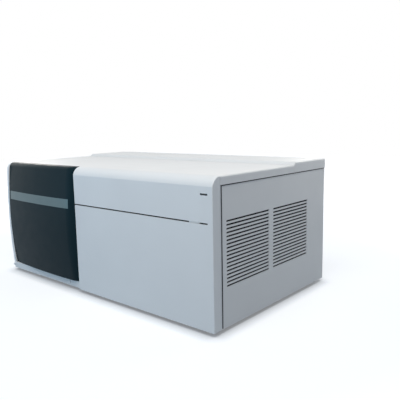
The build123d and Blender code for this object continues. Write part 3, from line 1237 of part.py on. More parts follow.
def valve_bar(radius, start, end):
    """Cylinder on the divert valve's axis, between two depths before the manifold."""
    x, back = MAN_LEFT + VALVE_INSET, ION_Y - MANIFOLD_HALF
    return rod(radius, (x, back - start, ION_Z), (x, back - end, ION_Z))


def make_divert_valve():
    """Valve on the manifold's front: motor block and a round head that holds the rotor."""
    x, back = MAN_LEFT + VALVE_INSET, ION_Y - MANIFOLD_HALF
    half, depth = VALVE_BODY
    body = block((x - half, x + half), (back - depth, back), (ION_Z - half, ION_Z + half))
    body = fillet(body.edges().filter_by(Axis.Y), VALVE_CORNER)
    front = depth + VALVE_HEAD
    seat = front - VALVE_COVER
    body = body + valve_bar(VALVE_RADIUS, front, depth)
    body = body - valve_bar(VALVE_ROTOR + RUNNING, seat, seat - VALVE_ROTOR_DEPTH)
    shaft, reach = VALVE_SHAFT
    body = body - valve_bar(shaft + RUNNING, seat - VALVE_ROTOR_DEPTH, seat - VALVE_ROTOR_DEPTH - reach)
    ports = []
    for k in range(VALVE_PORTS):
        angle = 2 * math.pi * k / VALVE_PORTS
        offset = Pos(VALVE_PORT_RING * math.cos(angle), 0, VALVE_PORT_RING * math.sin(angle))
        ports.append(offset * valve_bar(VALVE_PORT, front + 1, seat - 1))
    return body - ports


def make_valve_rotor():
    seat = VALVE_BODY[1] + VALVE_HEAD - VALVE_COVER
    shaft, reach = VALVE_SHAFT
    behind = seat - VALVE_ROTOR_DEPTH + SIDE_PLAY
    disc = valve_bar(VALVE_ROTOR, seat - SIDE_PLAY, behind)
    return disc + valve_bar(shaft, behind, seat - VALVE_ROTOR_DEPTH - reach + 0.5)


PARTS = {
    "front_cover": make_front_cover,
    "status_lamp": make_status_lamp,
    "dark_panel": make_dark_panel,
    "blank_stripe": make_blank_stripe,
    "panel_surround": make_surround,
    "top_front_cover": make_top_front_cover,
    "top_rear_cover": make_top_rear_cover,
    "right_side_panel": make_right_side_panel,
    "left_side_panel": make_left_side_panel,
    "base_tray": make_base_tray,
    "frame": make_frame,
    "rubber_feet": make_feet,
    "source_block": make_source_block,
    "spray_shield": make_spray_shield,
    "capillary": make_capillary,
    "spray_chamber": make_spray_chamber,
    "chamber_flange": make_chamber_flange,
    "hinge_bracket": make_hinge_bracket,
    "hinge_pin": make_hinge_pin,
    "upper_thumbscrew": lambda: make_thumbscrew(1),
    "lower_thumbscrew": lambda: make_thumbscrew(-1),
    "chamber_window": make_chamber_window,
    "window_ring": make_window_ring,
    "nebulizer": make_nebulizer,
    "nebulizer_lock": make_nebulizer_lock,
    "drain_spout": make_drain_spout,
    "vacuum_manifold": make_manifold,
    "manifold_seal": make_manifold_seal,
    "manifold_lid": make_manifold_lid,
    "manifold_brackets": make_manifold_brackets,
    "skimmer": make_skimmer,
    "entrance_lens": make_entrance_lens,
    "octopole_rods": make_octopole_rods,
    "octopole_collars": make_octopole_collars,
    "quadrupole_rods": make_quadrupole_rods,
    "quadrupole_collars": make_quadrupole_collars,
    "collision_cell": make_collision_cell,
    "hexapole_rods": make_hexapole_rods,
    "optics_benches": make_optics_benches,
    "dynode": make_dynode,
    "electron_multiplier": make_multiplier,
    "left_turbo_housing": lambda: make_turbo_housing(PUMP_PLACES[0]),
    "right_turbo_housing": lambda: make_turbo_housing(PUMP_PLACES[1]),
    "left_turbo_rotor": lambda: make_turbo_rotor(PUMP_PLACES[0]),
    "right_turbo_rotor": lambda: make_turbo_rotor(PUMP_PLACES[1]),
    "foreline_pipe": make_foreline,
    "rear_panel": make_rear_panel,
    "fan_housings": make_fan_housings,
    "left_fan_rotor": lambda: make_fan_rotor(FAN_PLACES[0]),
    "right_fan_rotor": lambda: make_fan_rotor(FAN_PLACES[1]),
    "power_inlet": make_power_inlet,
    "power_rocker": make_power_rocker,
    "foreline_port": make_foreline_port,
    "gas_inlets": make_gas_inlets,
    "electronics_shelf": make_electronics_shelf,
    "rf_generators": make_rf_generators,
    "power_supply": make_power_supply,
    "main_board": make_main_board,
    "divert_valve": make_divert_valve,
    "valve_rotor": make_valve_rotor,
}

os.makedirs("parts", exist_ok=True)
for name, make in PARTS.items():
    export_step(make(), f"parts/{name}.step")
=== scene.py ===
"""Finishes, trim and stage for a benchtop mass spectrometer with a swinging ion source."""
import json
import math

import bmesh
import bpy
from mathutils import Matrix, Vector


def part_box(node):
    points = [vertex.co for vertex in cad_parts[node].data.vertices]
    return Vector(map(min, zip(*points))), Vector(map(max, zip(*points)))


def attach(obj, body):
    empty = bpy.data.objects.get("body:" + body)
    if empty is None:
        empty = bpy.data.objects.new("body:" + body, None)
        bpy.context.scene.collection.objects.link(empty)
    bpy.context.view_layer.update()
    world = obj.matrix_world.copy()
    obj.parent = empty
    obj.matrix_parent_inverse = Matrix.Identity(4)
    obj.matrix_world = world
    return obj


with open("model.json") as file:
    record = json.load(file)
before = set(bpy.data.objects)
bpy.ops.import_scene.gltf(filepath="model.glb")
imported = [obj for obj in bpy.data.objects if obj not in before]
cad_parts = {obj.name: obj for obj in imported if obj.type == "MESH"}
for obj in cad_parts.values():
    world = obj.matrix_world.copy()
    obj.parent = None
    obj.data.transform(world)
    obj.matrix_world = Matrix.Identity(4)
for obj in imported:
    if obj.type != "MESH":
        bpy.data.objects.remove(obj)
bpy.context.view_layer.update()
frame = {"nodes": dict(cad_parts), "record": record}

bl_info = {
    "name": "Mass spectrometer finishes",
    "version": (1, 0, 0),
    "blender": (4, 5, 0),
    "location": "View3D > Sidebar > Spectrometer",
    "description": "Gives the mass spectrometer its surfaces, seals, screws and stage",
    "category": "Object",
}

MM = 0.001


def linear(code):
    """sRGB hex to a linear colour with alpha."""
    parts = [int(code[k:k + 2], 16) / 255 for k in (0, 2, 4)]
    return tuple(p / 12.92 if p <= 0.04045 else ((p + 0.055) / 1.055) ** 2.4 for p in parts) + (1.0,)


# ---- Sizes and colours ----
class SpectrometerColours(bpy.types.PropertyGroup):
    """Colours of the finishes that a maker would choose."""

    cover: bpy.props.FloatVectorProperty(name="Cover", description="Spray paint on the moulded front covers",
                                         default=linear("E1E4E5"), size=4, min=0, max=1, subtype="COLOR")
    steel_cover: bpy.props.FloatVectorProperty(name="Steel cover", description="Powder coat on the top and the sides",
                                               default=linear("E2E4E4"), size=4, min=0, max=1, subtype="COLOR")
    dark_panel: bpy.props.FloatVectorProperty(name="Dark panel", description="Moulded bowed front panel",
                                              default=linear("10252C"), size=4, min=0, max=1, subtype="COLOR")
    stripe: bpy.props.FloatVectorProperty(name="Stripe", description="Film inlaid in the dark panel",
                                          default=linear("4F696D"), size=4, min=0, max=1, subtype="COLOR")
    rear_panel: bpy.props.FloatVectorProperty(name="Rear panel", description="Grey paint on the rear sheet",
                                              default=linear("9EA3A6"), size=4, min=0, max=1, subtype="COLOR")


class SpectrometerTrim(bpy.types.PropertyGroup):
    """Sizes of the seals, the screws and the other small pieces."""

    seal_width: bpy.props.FloatProperty(name="Edge seal", description="Width of the seals at the covers' joints",
                                        default=3.0 * MM, min=0.001, max=0.006, subtype="DISTANCE")
    gasket_depth: bpy.props.FloatProperty(name="Groove gasket", description="Gasket's face behind the front cover's",
                                          default=2.2 * MM, min=0.001, max=0.008, subtype="DISTANCE")
    tab_length: bpy.props.FloatProperty(name="Latch tab", description="Length of the push tab in the long groove",
                                        default=40.0 * MM, min=0.01, max=0.1, subtype="DISTANCE")
    screw_radius: bpy.props.FloatProperty(name="Panel screw", description="Radius of the button heads on the rear side",
                                          default=3.8 * MM, min=0.002, max=0.006, subtype="DISTANCE")
    filter_border: bpy.props.FloatProperty(name="Filter border", description="Dust filter's reach past the louvres",
                                           default=6.0 * MM, min=0.002, max=0.02, subtype="DISTANCE")


class SpectrometerStage(bpy.types.PropertyGroup):
    """Camera, lamps and floor."""

    lens: bpy.props.FloatProperty(name="Lens", description="Focal length", default=44.5, min=10, unit="CAMERA")
    key_power: bpy.props.FloatProperty(name="Key", description="High softbox in front", default=84.0, min=0,
                                       unit="POWER")
    fill_power: bpy.props.FloatProperty(name="Fill", description="Low softbox in front", default=20.0, min=0,
                                        unit="POWER")
    rear_power: bpy.props.FloatProperty(name="Rear", description="Softbox behind the part", default=80.0, min=0,
                                        unit="POWER")
    left_power: bpy.props.FloatProperty(name="Left", description="Softbox beside the ion source", default=42.0, min=0,
                                        unit="POWER")
    sky_strength: bpy.props.FloatProperty(name="Sky", description="Even light from all sides", default=0.21, min=0,
                                          max=1, subtype="FACTOR")
    floor_lift: bpy.props.FloatProperty(name="Floor lift", description="Whiteness added to the floor near the part",
                                        default=0.70, min=0, max=1, subtype="FACTOR")
    floor_size: bpy.props.FloatProperty(name="Floor", description="Width of the floor", default=14.0, min=1,
                                        unit="LENGTH")


# ---- Material tools ----
def add(tree, kind, inputs=None, feeds=None, output=0, **settings):
    """Adds a node with its settings and links: inputs maps a socket to a value or to what feeds it."""
    node = tree.nodes.new(kind)
    for name, value in settings.items():
        setattr(node, name, value)
    for key, value in (inputs or {}).items():
        if isinstance(value, bpy.types.NodeSocket):
            tree.links.new(value, node.inputs[key])
        else:
            node.inputs[key].default_value = value
    if feeds:
        tree.links.new(node.outputs[output], feeds)
    return node


def start_material(name, **sockets):
    """New material; returns it, its tree, its shader and the position on the piece."""
    material = bpy.data.materials.new(name)
    material.use_nodes = True
    tree = material.node_tree
    shader = tree.nodes["Principled BSDF"]
    for socket, value in sockets.items():
        shader.inputs[socket.replace("_", " ")].default_value = value
    return material, tree, shader.inputs, add(tree, "ShaderNodeTexCoord").outputs["Object"]


def cells(millimetres):
    """Texture scale at which one cell of the pattern is this wide."""
    return 1.0 / (millimetres * MM)


def shade(colour, part):
    """The colour at this part of its brightness."""
    return tuple(c * part for c in tuple(colour)[:3]) + (1.0,)


# ---- Materials ----
def textured_paint(colours):
    """Rigid polyurethane foam, moulded and spray painted."""
    # Satin with a fine orange peel; the tone wanders a little over a hand's width.
    material, tree, shader, place = start_material("Sprayed polyurethane moulding", IOR=1.5)
    broad = add(tree, "ShaderNodeTexNoise", {"Vector": place, "Scale": cells(180), "Detail": 2.0}).outputs["Fac"]
    add(tree, "ShaderNodeMix", {0: broad, 6: shade(colours.cover, 1.03), 7: shade(colours.cover, 0.96)},
        feeds=shader["Base Color"], output=2, data_type="RGBA")
    handled = add(tree, "ShaderNodeTexNoise", {"Vector": place, "Scale": cells(60), "Detail": 4.0}).outputs["Fac"]
    add(tree, "ShaderNodeMapRange",
        {"Value": handled, "From Min": 0.3, "From Max": 0.7, "To Min": 0.40, "To Max": 0.52},
        feeds=shader["Roughness"])
    # Real peel has cells of about half a millimetre; they are drawn at 1.8 mm so that they show.
    peel = add(tree, "ShaderNodeTexNoise", {"Vector": place, "Scale": cells(1.8), "Detail": 2.0}).outputs["Fac"]
    add(tree, "ShaderNodeBump", {"Height": peel, "Distance": 0.05 * MM, "Strength": 0.5}, feeds=shader["Normal"])
    return material


def powder_coat(colours):
    """Folded sheet steel with a fine powder coat."""
    # Flatter and grainier than the mouldings beside it.
    material, tree, shader, place = start_material("Powder coated sheet steel", IOR=1.5)
    broad = add(tree, "ShaderNodeTexNoise", {"Vector": place, "Scale": cells(240), "Detail": 2.0}).outputs["Fac"]
    add(tree, "ShaderNodeMix", {0: broad, 6: shade(colours.steel_cover, 1.03), 7: shade(colours.steel_cover, 0.96)},
        feeds=shader["Base Color"], output=2, data_type="RGBA")
    handled = add(tree, "ShaderNodeTexNoise", {"Vector": place, "Scale": cells(45), "Detail": 4.0}).outputs["Fac"]
    add(tree, "ShaderNodeMapRange",
        {"Value": handled, "From Min": 0.3, "From Max": 0.7, "To Min": 0.46, "To Max": 0.58},
        feeds=shader["Roughness"])
    # Powder grains are 0.1 mm; they are drawn at 1.2 mm so that they show.
    grain = add(tree, "ShaderNodeTexNoise", {"Vector": place, "Scale": cells(1.2), "Detail": 2.0}).outputs["Fac"]
    add(tree, "ShaderNodeBump", {"Height": grain, "Distance": 0.04 * MM, "Strength": 0.5}, feeds=shader["Normal"])
    return material


def rear_paint(colours):
    """Stove enamelled steel of the rear sheet."""
    # Plain satin grey with faint clouds where the coat is thinner.
    # Its grains are 0.1 mm; they are drawn at 1.2 mm so that they show.
    material, tree, shader, place = start_material("Grey stove enamelled steel", IOR=1.5)
    broad = add(tree, "ShaderNodeTexNoise", {"Vector": place, "Scale": cells(150), "Detail": 3.0}).outputs["Fac"]
    add(tree, "ShaderNodeMix", {0: broad, 6: shade(colours.rear_panel, 1.05), 7: shade(colours.rear_panel, 0.92)},
        feeds=shader["Base Color"], output=2, data_type="RGBA")
    handled = add(tree, "ShaderNodeTexNoise", {"Vector": place, "Scale": cells(50), "Detail": 4.0}).outputs["Fac"]
    add(tree, "ShaderNodeMapRange",
        {"Value": handled, "From Min": 0.3, "From Max": 0.7, "To Min": 0.42, "To Max": 0.55},
        feeds=shader["Roughness"])
    grain = add(tree, "ShaderNodeTexNoise", {"Vector": place, "Scale": cells(1.2), "Detail": 2.0}).outputs["Fac"]
    add(tree, "ShaderNodeBump", {"Height": grain, "Distance": 0.03 * MM, "Strength": 0.4}, feeds=shader["Normal"])
    return material


def dark_moulding(colours):
    """Thermoformed ABS panel, slate blue, with a fine matt grain."""
    # The grain breaks the sheen up, so the bow reads as a soft gradient and not as a mirror.
    material, tree, shader, place = start_material("Slate thermoformed ABS", IOR=1.52, Specular_IOR_Level=0.05)
    broad = add(tree, "ShaderNodeTexNoise", {"Vector": place, "Scale": cells(120), "Detail": 3.0}).outputs["Fac"]
    add(tree, "ShaderNodeMix", {0: broad, 6: shade(colours.dark_panel, 1.08), 7: shade(colours.dark_panel, 0.90)},
        feeds=shader["Base Color"], output=2, data_type="RGBA")
    handled = add(tree, "ShaderNodeTexNoise", {"Vector": place, "Scale": cells(40), "Detail": 4.0}).outputs["Fac"]
    add(tree, "ShaderNodeMapRange",
        {"Value": handled, "From Min": 0.3, "From Max": 0.7, "To Min": 0.34, "To Max": 0.44},
        feeds=shader["Roughness"])
    # The moulded grain is 0.3 mm; it is drawn at 1.5 mm so that it shows.
    grain = add(tree, "ShaderNodeTexNoise", {"Vector": place, "Scale": cells(1.5), "Detail": 2.0}).outputs["Fac"]
    add(tree, "ShaderNodeBump", {"Height": grain, "Distance": 0.03 * MM, "Strength": 0.4}, feeds=shader["Normal"])
    return material


def stripe_film(colours):
    """Back printed polycarbonate film."""
    # Smooth and even; only the gloss wanders where it has been wiped.
    material, tree, shader, place = start_material("Printed polycarbonate film", IOR=1.58, Specular_IOR_Level=0.3)
    broad = add(tree, "ShaderNodeTexNoise", {"Vector": place, "Scale": cells(60), "Detail": 2.0}).outputs["Fac"]
    add(tree, "ShaderNodeMix", {0: broad, 6: shade(colours.stripe, 1.04), 7: shade(colours.stripe, 0.94)},
        feeds=shader["Base Color"], output=2, data_type="RGBA")
    add(tree, "ShaderNodeMapRange", {"Value": broad, "From Min": 0.3, "From Max": 0.7, "To Min": 0.28, "To Max": 0.36},
        feeds=shader["Roughness"])
    return material


def smoked_acrylic(colours):
    """Moulded smoked acrylic bar over the status lamp."""
    # Near black while the lamp is off, with a sharp gloss.
    material, tree, shader, place = start_material("Smoked acrylic", IOR=1.49)
    cloud = add(tree, "ShaderNodeTexNoise", {"Vector": place, "Scale": cells(8), "Detail": 2.0}).outputs["Fac"]
    add(tree, "ShaderNodeMix", {0: cloud, 6: linear("15181B"), 7: linear("0E1114")},
        feeds=shader["Base Color"], output=2, data_type="RGBA")
    add(tree, "ShaderNodeMapRange", {"Value": cloud, "From Min": 0.3, "From Max": 0.7, "To Min": 0.10, "To Max": 0.18},
        feeds=shader["Roughness"])
    return material


def zinc_plate(colours):
    """Zinc plated sheet steel."""
    # Cool grey with crystals about seven millimetres across.
    material, tree, shader, place = start_material("Zinc plated steel", Metallic=1.0)
    crystals = add(tree, "ShaderNodeTexVoronoi", {"Vector": place, "Scale": cells(7)}).outputs["Distance"]
    add(tree, "ShaderNodeMix", {0: crystals, 6: linear("B4B7BA"), 7: linear("A3A6A9")},
        feeds=shader["Base Color"], output=2, data_type="RGBA")
    dull = add(tree, "ShaderNodeTexNoise", {"Vector": place, "Scale": cells(12), "Detail": 3.0}).outputs["Fac"]
    add(tree, "ShaderNodeMapRange", {"Value": dull, "From Min": 0.3, "From Max": 0.7, "To Min": 0.34, "To Max": 0.48},
        feeds=shader["Roughness"])
    return material


def foot_rubber(colours):
    """Moulded nitrile rubber."""
    # Matt black with a little dust in the grain, which is 0.2 mm and is drawn at 1 mm so that it shows.
    material, tree, shader, place = start_material("Moulded nitrile rubber", IOR=1.52, Specular_IOR_Level=0.15)
    dust = add(tree, "ShaderNodeTexNoise", {"Vector": place, "Scale": cells(9), "Detail": 3.0}).outputs["Fac"]
    add(tree, "ShaderNodeMix", {0: dust, 6: linear("101113"), 7: linear("1D1E20")},
        feeds=shader["Base Color"], output=2, data_type="RGBA")
    add(tree, "ShaderNodeMapRange", {"Value": dust, "From Min": 0.3, "From Max": 0.7, "To Min": 0.70, "To Max": 0.85},
        feeds=shader["Roughness"])
    grain = add(tree, "ShaderNodeTexNoise", {"Vector": place, "Scale": cells(1.0), "Detail": 2.0}).outputs["Fac"]
    add(tree, "ShaderNodeBump", {"Height": grain, "Distance": 0.06 * MM, "Strength": 0.5}, feeds=shader["Normal"])
    return material


def machined_aluminium(colours):
    """Milled aluminium."""
    # Faint cutter lines along X, about a millimetre apart.
    material, tree, shader, place = start_material("Milled aluminium", Metallic=1.0)
    along = add(tree, "ShaderNodeMapping", {"Vector": place, "Scale": (0.03, 1, 1)}).outputs[0]
    lines = add(tree, "ShaderNodeTexNoise", {"Vector": along, "Scale": cells(1.0), "Detail": 2.0}).outputs["Fac"]
    add(tree, "ShaderNodeMix", {0: lines, 6: linear("CFD1D2"), 7: linear("B7B9BA")},
        feeds=shader["Base Color"], output=2, data_type="RGBA")
    dull = add(tree, "ShaderNodeTexNoise", {"Vector": place, "Scale": cells(20), "Detail": 3.0}).outputs["Fac"]
    add(tree, "ShaderNodeMapRange", {"Value": dull, "From Min": 0.3, "From Max": 0.7, "To Min": 0.26, "To Max": 0.38},
        feeds=shader["Roughness"])
    add(tree, "ShaderNodeBump", {"Height": lines, "Distance": 0.02 * MM, "Strength": 0.5}, feeds=shader["Normal"])
    return material


def blasted_aluminium(colours):
    """Cast aluminium, bead blasted."""
    # Even grey with a soft sparkle from the dimples.
    material, tree, shader, place = start_material("Bead blasted aluminium casting", Metallic=1.0)
    cloud = add(tree, "ShaderNodeTexNoise", {"Vector": place, "Scale": cells(14), "Detail": 3.0}).outputs["Fac"]
    add(tree, "ShaderNodeMix", {0: cloud, 6: linear("C4C7C9"), 7: linear("ADB0B2")},
        feeds=shader["Base Color"], output=2, data_type="RGBA")
    add(tree, "ShaderNodeMapRange", {"Value": cloud, "From Min": 0.3, "From Max": 0.7, "To Min": 0.42, "To Max": 0.55},
        feeds=shader["Roughness"])
    # Bead dimples are 0.2 mm; they are drawn at 0.8 mm so that they show.
    dimples = add(tree, "ShaderNodeTexNoise", {"Vector": place, "Scale": cells(0.8), "Detail": 2.0}).outputs["Fac"]
    add(tree, "ShaderNodeBump", {"Height": dimples, "Distance": 0.05 * MM, "Strength": 0.6}, feeds=shader["Normal"])
    return material


def polished_steel(colours):
    """Electropolished stainless steel."""
    # Bright and slightly wavy, with dull patches from handling.
    material, tree, shader, place = start_material("Electropolished stainless steel", Metallic=1.0)
    cloud = add(tree, "ShaderNodeTexNoise", {"Vector": place, "Scale": cells(25), "Detail": 3.0}).outputs["Fac"]
    add(tree, "ShaderNodeMix", {0: cloud, 6: linear("CCCDCF"), 7: linear("BCBDBF")},
        feeds=shader["Base Color"], output=2, data_type="RGBA")
    handled = add(tree, "ShaderNodeTexNoise", {"Vector": place, "Scale": cells(6), "Detail": 3.0}).outputs["Fac"]
    add(tree, "ShaderNodeMapRange",
        {"Value": handled, "From Min": 0.3, "From Max": 0.7, "To Min": 0.12, "To Max": 0.22},
        feeds=shader["Roughness"])
    return material


def turned_steel(colours):
    """Turned stainless steel."""
    # Fine tool marks that catch the light. They are 0.3 mm apart and are drawn at 0.9 mm so that they show.
    material, tree, shader, place = start_material("Turned stainless steel", Metallic=1.0)
    marks = add(tree, "ShaderNodeTexNoise", {"Vector": place, "Scale": cells(0.9), "Detail": 1.0}).outputs["Fac"]
    add(tree, "ShaderNodeMix", {0: marks, 6: linear("C0C2C4"), 7: linear("A8AAAC")},
        feeds=shader["Base Color"], output=2, data_type="RGBA")
    dull = add(tree, "ShaderNodeTexNoise", {"Vector": place, "Scale": cells(10), "Detail": 3.0}).outputs["Fac"]
    add(tree, "ShaderNodeMapRange", {"Value": dull, "From Min": 0.3, "From Max": 0.7, "To Min": 0.22, "To Max": 0.34},
        feeds=shader["Roughness"])
    add(tree, "ShaderNodeBump", {"Height": marks, "Distance": 0.02 * MM, "Strength": 0.4}, feeds=shader["Normal"])
    return material


def quartz(colours):
    """Fused quartz, fire polished."""
    # Clear, with faint streaks in the gloss.
    material, tree, shader, place = start_material("Fused quartz", IOR=1.46, Transmission_Weight=1.0)
    streaks = add(tree, "ShaderNodeTexNoise", {"Vector": place, "Scale": cells(12), "Detail": 2.0}).outputs["Fac"]
    add(tree, "ShaderNodeMix", {0: streaks, 6: linear("F2F8F8"), 7: linear("EAF2F2")},
        feeds=shader["Base Color"], output=2, data_type="RGBA")
    add(tree, "ShaderNodeMapRange", {"Value": streaks, "From Min": 0.3, "From Max": 0.7, "To Min": 0.0, "To Max": 0.03},
        feeds=shader["Roughness"])
    return material


def black_nylon(colours):
    """Glass filled nylon with a spark eroded grain."""
    # Satin black whose grain greys it where the light grazes. The grain is 0.1 mm and is drawn at 1 mm.
    material, tree, shader, place = start_material("Black glass filled nylon", IOR=1.53, Specular_IOR_Level=0.35)
    cloud = add(tree, "ShaderNodeTexNoise", {"Vector": place, "Scale": cells(5), "Detail": 3.0}).outputs["Fac"]
    add(tree, "ShaderNodeMix", {0: cloud, 6: linear("18191B"), 7: linear("222326")},
        feeds=shader["Base Color"], output=2, data_type="RGBA")
    add(tree, "ShaderNodeMapRange", {"Value": cloud, "From Min": 0.3, "From Max": 0.7, "To Min": 0.45, "To Max": 0.60},
        feeds=shader["Roughness"])
    grain = add(tree, "ShaderNodeTexNoise", {"Vector": place, "Scale": cells(1.0), "Detail": 2.0}).outputs["Fac"]
    add(tree, "ShaderNodeBump", {"Height": grain, "Distance": 0.04 * MM, "Strength": 0.5}, feeds=shader["Normal"])
    return material


def seal_rubber(colours):
    """Compression moulded fluorocarbon rubber."""
    # Brown and half matt, slightly streaked.
    material, tree, shader, place = start_material("Fluorocarbon rubber", IOR=1.5)
    cloud = add(tree, "ShaderNodeTexNoise", {"Vector": place, "Scale": cells(6), "Detail": 3.0}).outputs["Fac"]
    add(tree, "ShaderNodeMix", {0: cloud, 6: linear("4E2D1D"), 7: linear("412618")},
        feeds=shader["Base Color"], output=2, data_type="RGBA")
    add(tree, "ShaderNodeMapRange", {"Value": cloud, "From Min": 0.3, "From Max": 0.7, "To Min": 0.50, "To Max": 0.62},
        feeds=shader["Roughness"])
    return material


def alumina(colours):
    """Sintered alumina ceramic, unglazed."""
    # Chalky white with the tooth of its grain, which is finer than 0.1 mm and is drawn at 0.8 mm.
    material, tree, shader, place = start_material("Sintered alumina", IOR=1.76, Specular_IOR_Level=0.4)
    grain = add(tree, "ShaderNodeTexNoise", {"Vector": place, "Scale": cells(0.8), "Detail": 3.0}).outputs["Fac"]
    add(tree, "ShaderNodeMix", {0: grain, 6: linear("F0EDE3"), 7: linear("E6E3D9")},
        feeds=shader["Base Color"], output=2, data_type="RGBA")
    add(tree, "ShaderNodeMapRange", {"Value": grain, "From Min": 0.3, "From Max": 0.7, "To Min": 0.48, "To Max": 0.60},
        feeds=shader["Roughness"])
    add(tree, "ShaderNodeBump", {"Height": grain, "Distance": 0.02 * MM, "Strength": 0.4}, feeds=shader["Normal"])
    return material


def gold_plate(colours):
    """Gold plated rods, lapped."""
    # A warm mirror with faint lapping lines along the rods, drawn at 3 mm though real ones are finer.
    material, tree, shader, place = start_material("Gold plated rod", Metallic=1.0)
    along = add(tree, "ShaderNodeMapping", {"Vector": place, "Scale": (0.1, 1, 1)}).outputs[0]
    lines = add(tree, "ShaderNodeTexNoise", {"Vector": along, "Scale": cells(3), "Detail": 2.0}).outputs["Fac"]
    add(tree, "ShaderNodeMix", {0: lines, 6: linear("E9C67F"), 7: linear("DCB66E")},
        feeds=shader["Base Color"], output=2, data_type="RGBA")
    add(tree, "ShaderNodeMapRange", {"Value": lines, "From Min": 0.3, "From Max": 0.7, "To Min": 0.10, "To Max": 0.18},
        feeds=shader["Roughness"])
    return material


def circuit_board(colours):
    """Glass epoxy laminate with solder mask."""
    # Green with lighter copper tracks under the mask. Real ones are 0.5 mm apart; they are drawn at 3 mm.
    material, tree, shader, place = start_material("Solder masked laminate", IOR=1.5)
    turned = add(tree, "ShaderNodeMapping", {"Vector": place, "Rotation": (0, math.pi / 2, 0)}).outputs[0]
    tracks = add(tree, "ShaderNodeTexBrick", {"Vector": turned, "Scale": cells(12), "Mortar Size": 0.03}).outputs["Fac"]
    add(tree, "ShaderNodeMix", {0: tracks, 6: linear("1E5A38"), 7: linear("2A6B46")},
        feeds=shader["Base Color"], output=2, data_type="RGBA")
    cloud = add(tree, "ShaderNodeTexNoise", {"Vector": place, "Scale": cells(10), "Detail": 3.0}).outputs["Fac"]
    add(tree, "ShaderNodeMapRange", {"Value": cloud, "From Min": 0.3, "From Max": 0.7, "To Min": 0.30, "To Max": 0.40},
        feeds=shader["Roughness"])
    return material


def nickel_plate(colours):
    """Nickel plated brass."""
    # Warm and bright, dulled a little by fingers.
    material, tree, shader, place = start_material("Nickel plated brass", Metallic=1.0)
    cloud = add(tree, "ShaderNodeTexNoise", {"Vector": place, "Scale": cells(8), "Detail": 3.0}).outputs["Fac"]
    add(tree, "ShaderNodeMix", {0: cloud, 6: linear("C6C3BA"), 7: linear("B5B2A9")},
        feeds=shader["Base Color"], output=2, data_type="RGBA")
    add(tree, "ShaderNodeMapRange", {"Value": cloud, "From Min": 0.3, "From Max": 0.7, "To Min": 0.18, "To Max": 0.28},
        feeds=shader["Roughness"])
    return material


FINISHES = {
    "white_cover": textured_paint,
    "white_painted_steel": powder_coat,
    "dark_moulding": dark_moulding,
    "stripe_film": stripe_film,
    "smoked_lens": smoked_acrylic,
    "grey_painted_steel": rear_paint,
    "zinc_steel": zinc_plate,
    "foot_rubber": foot_rubber,
    "machined_aluminium": machined_aluminium,
    "cast_aluminium": blasted_aluminium,
    "polished_steel": polished_steel,
    "turned_steel": turned_steel,
    "quartz_glass": quartz,
    "black_plastic": black_nylon,
    "seal_rubber": seal_rubber,
    "white_ceramic": alumina,
    "gold_plated_rods": gold_plate,
    "green_board": circuit_board,
    "nickel_fitting": nickel_plate,
}
MADE = {}  # the material of each slot that a piece has used so far


def finish_for(slot):
    """Material of a slot, made once."""
    if slot not in MADE:
        MADE[slot] = FINISHES[slot](bpy.context.scene.spectrometer_colours)
    return MADE[slot]


def dress_nodes(names):
    """Gives each CAD node the finish of its slot."""
    slots = {part["node"]: part["material_slot"] for part in frame["record"]["subparts"]}
    for name in names:
        mesh = frame["nodes"][name].data
        mesh.materials.clear()
        mesh.materials.append(finish_for(slots[name]))


# ---- Trim tools ----
# A screw's measures, as parts of its head's radius.
HEAD_HEIGHT = 0.58
HEAD_TOP = 0.62
HEAD_ROUNDING = 0.12
CROWN_BORDER = 0.14
SOCKET_REACH = 0.36      # middle to a flat of the hexagon
SOCKET_DEPTH = 0.6       # part of the head's height

SLANT = Vector((1.0, 7.31, 53.9))     # direction along which no two corners of a piece lie level


def add_bar(shape, low, high, rounding):
    """Bar with rounded edges between two corners."""
    middle = [(a + b) / 2 for a, b in zip(low, high)]
    size = [b - a for a, b in zip(low, high)]
    made = bmesh.ops.create_cube(shape, size=1.0, matrix=Matrix.Translation(middle) @ Matrix.Diagonal((*size, 1.0)))
    edges = list(dict.fromkeys(edge for corner in made["verts"] for edge in corner.link_edges))
    bmesh.ops.bevel(shape, geom=edges, offset=rounding, offset_type="OFFSET", segments=2, profile=0.5, affect="EDGES",
                    material=-1)


def add_screw(shape, spot, radius):
    """Button head with a hexagon socket that stands on a spot and points to the rear."""
    height = HEAD_HEIGHT * radius
    before = set(shape.verts)
    bmesh.ops.create_cone(shape, cap_ends=True, segments=24, radius1=radius, radius2=HEAD_TOP * radius, depth=height,
                          matrix=Matrix.Translation((0, 0, height / 2)))
    head = [corner for corner in shape.verts if corner not in before]
    level = height / 9  # an edge that rises less lies in a rim
    rims = list(dict.fromkeys(edge for corner in head for edge in corner.link_edges
                              if abs(edge.verts[0].co.z - edge.verts[1].co.z) < level))
    bmesh.ops.bevel(shape, geom=rims, offset=HEAD_ROUNDING * radius, offset_type="OFFSET", segments=3, profile=0.5,
                    affect="EDGES", material=-1)
    head = [corner for corner in shape.verts if corner not in before]
    crown = max((face for corner in head for face in corner.link_faces), key=lambda face: face.calc_center_median().z)
    bmesh.ops.inset_region(shape, faces=[crown], thickness=CROWN_BORDER * radius, use_even_offset=True)
    for corner in crown.verts:
        turn = math.atan2(corner.co.y, corner.co.x) % math.radians(60) - math.radians(30)
        reach = SOCKET_REACH * radius / math.cos(turn) / math.hypot(corner.co.x, corner.co.y)
        corner.co.x, corner.co.y = corner.co.x * reach, corner.co.y * reach
    socket = bmesh.ops.extrude_discrete_faces(shape, faces=[crown])["faces"][0]
    bmesh.ops.translate(shape, vec=(0, 0, -SOCKET_DEPTH * height), verts=list(socket.verts))
    turned = Matrix.Translation(spot) @ Vector((0, 1, 0)).to_track_quat("Z", "Y").to_matrix().to_4x4()
    bmesh.ops.transform(shape, matrix=turned, verts=[corner for corner in shape.verts if corner not in before])


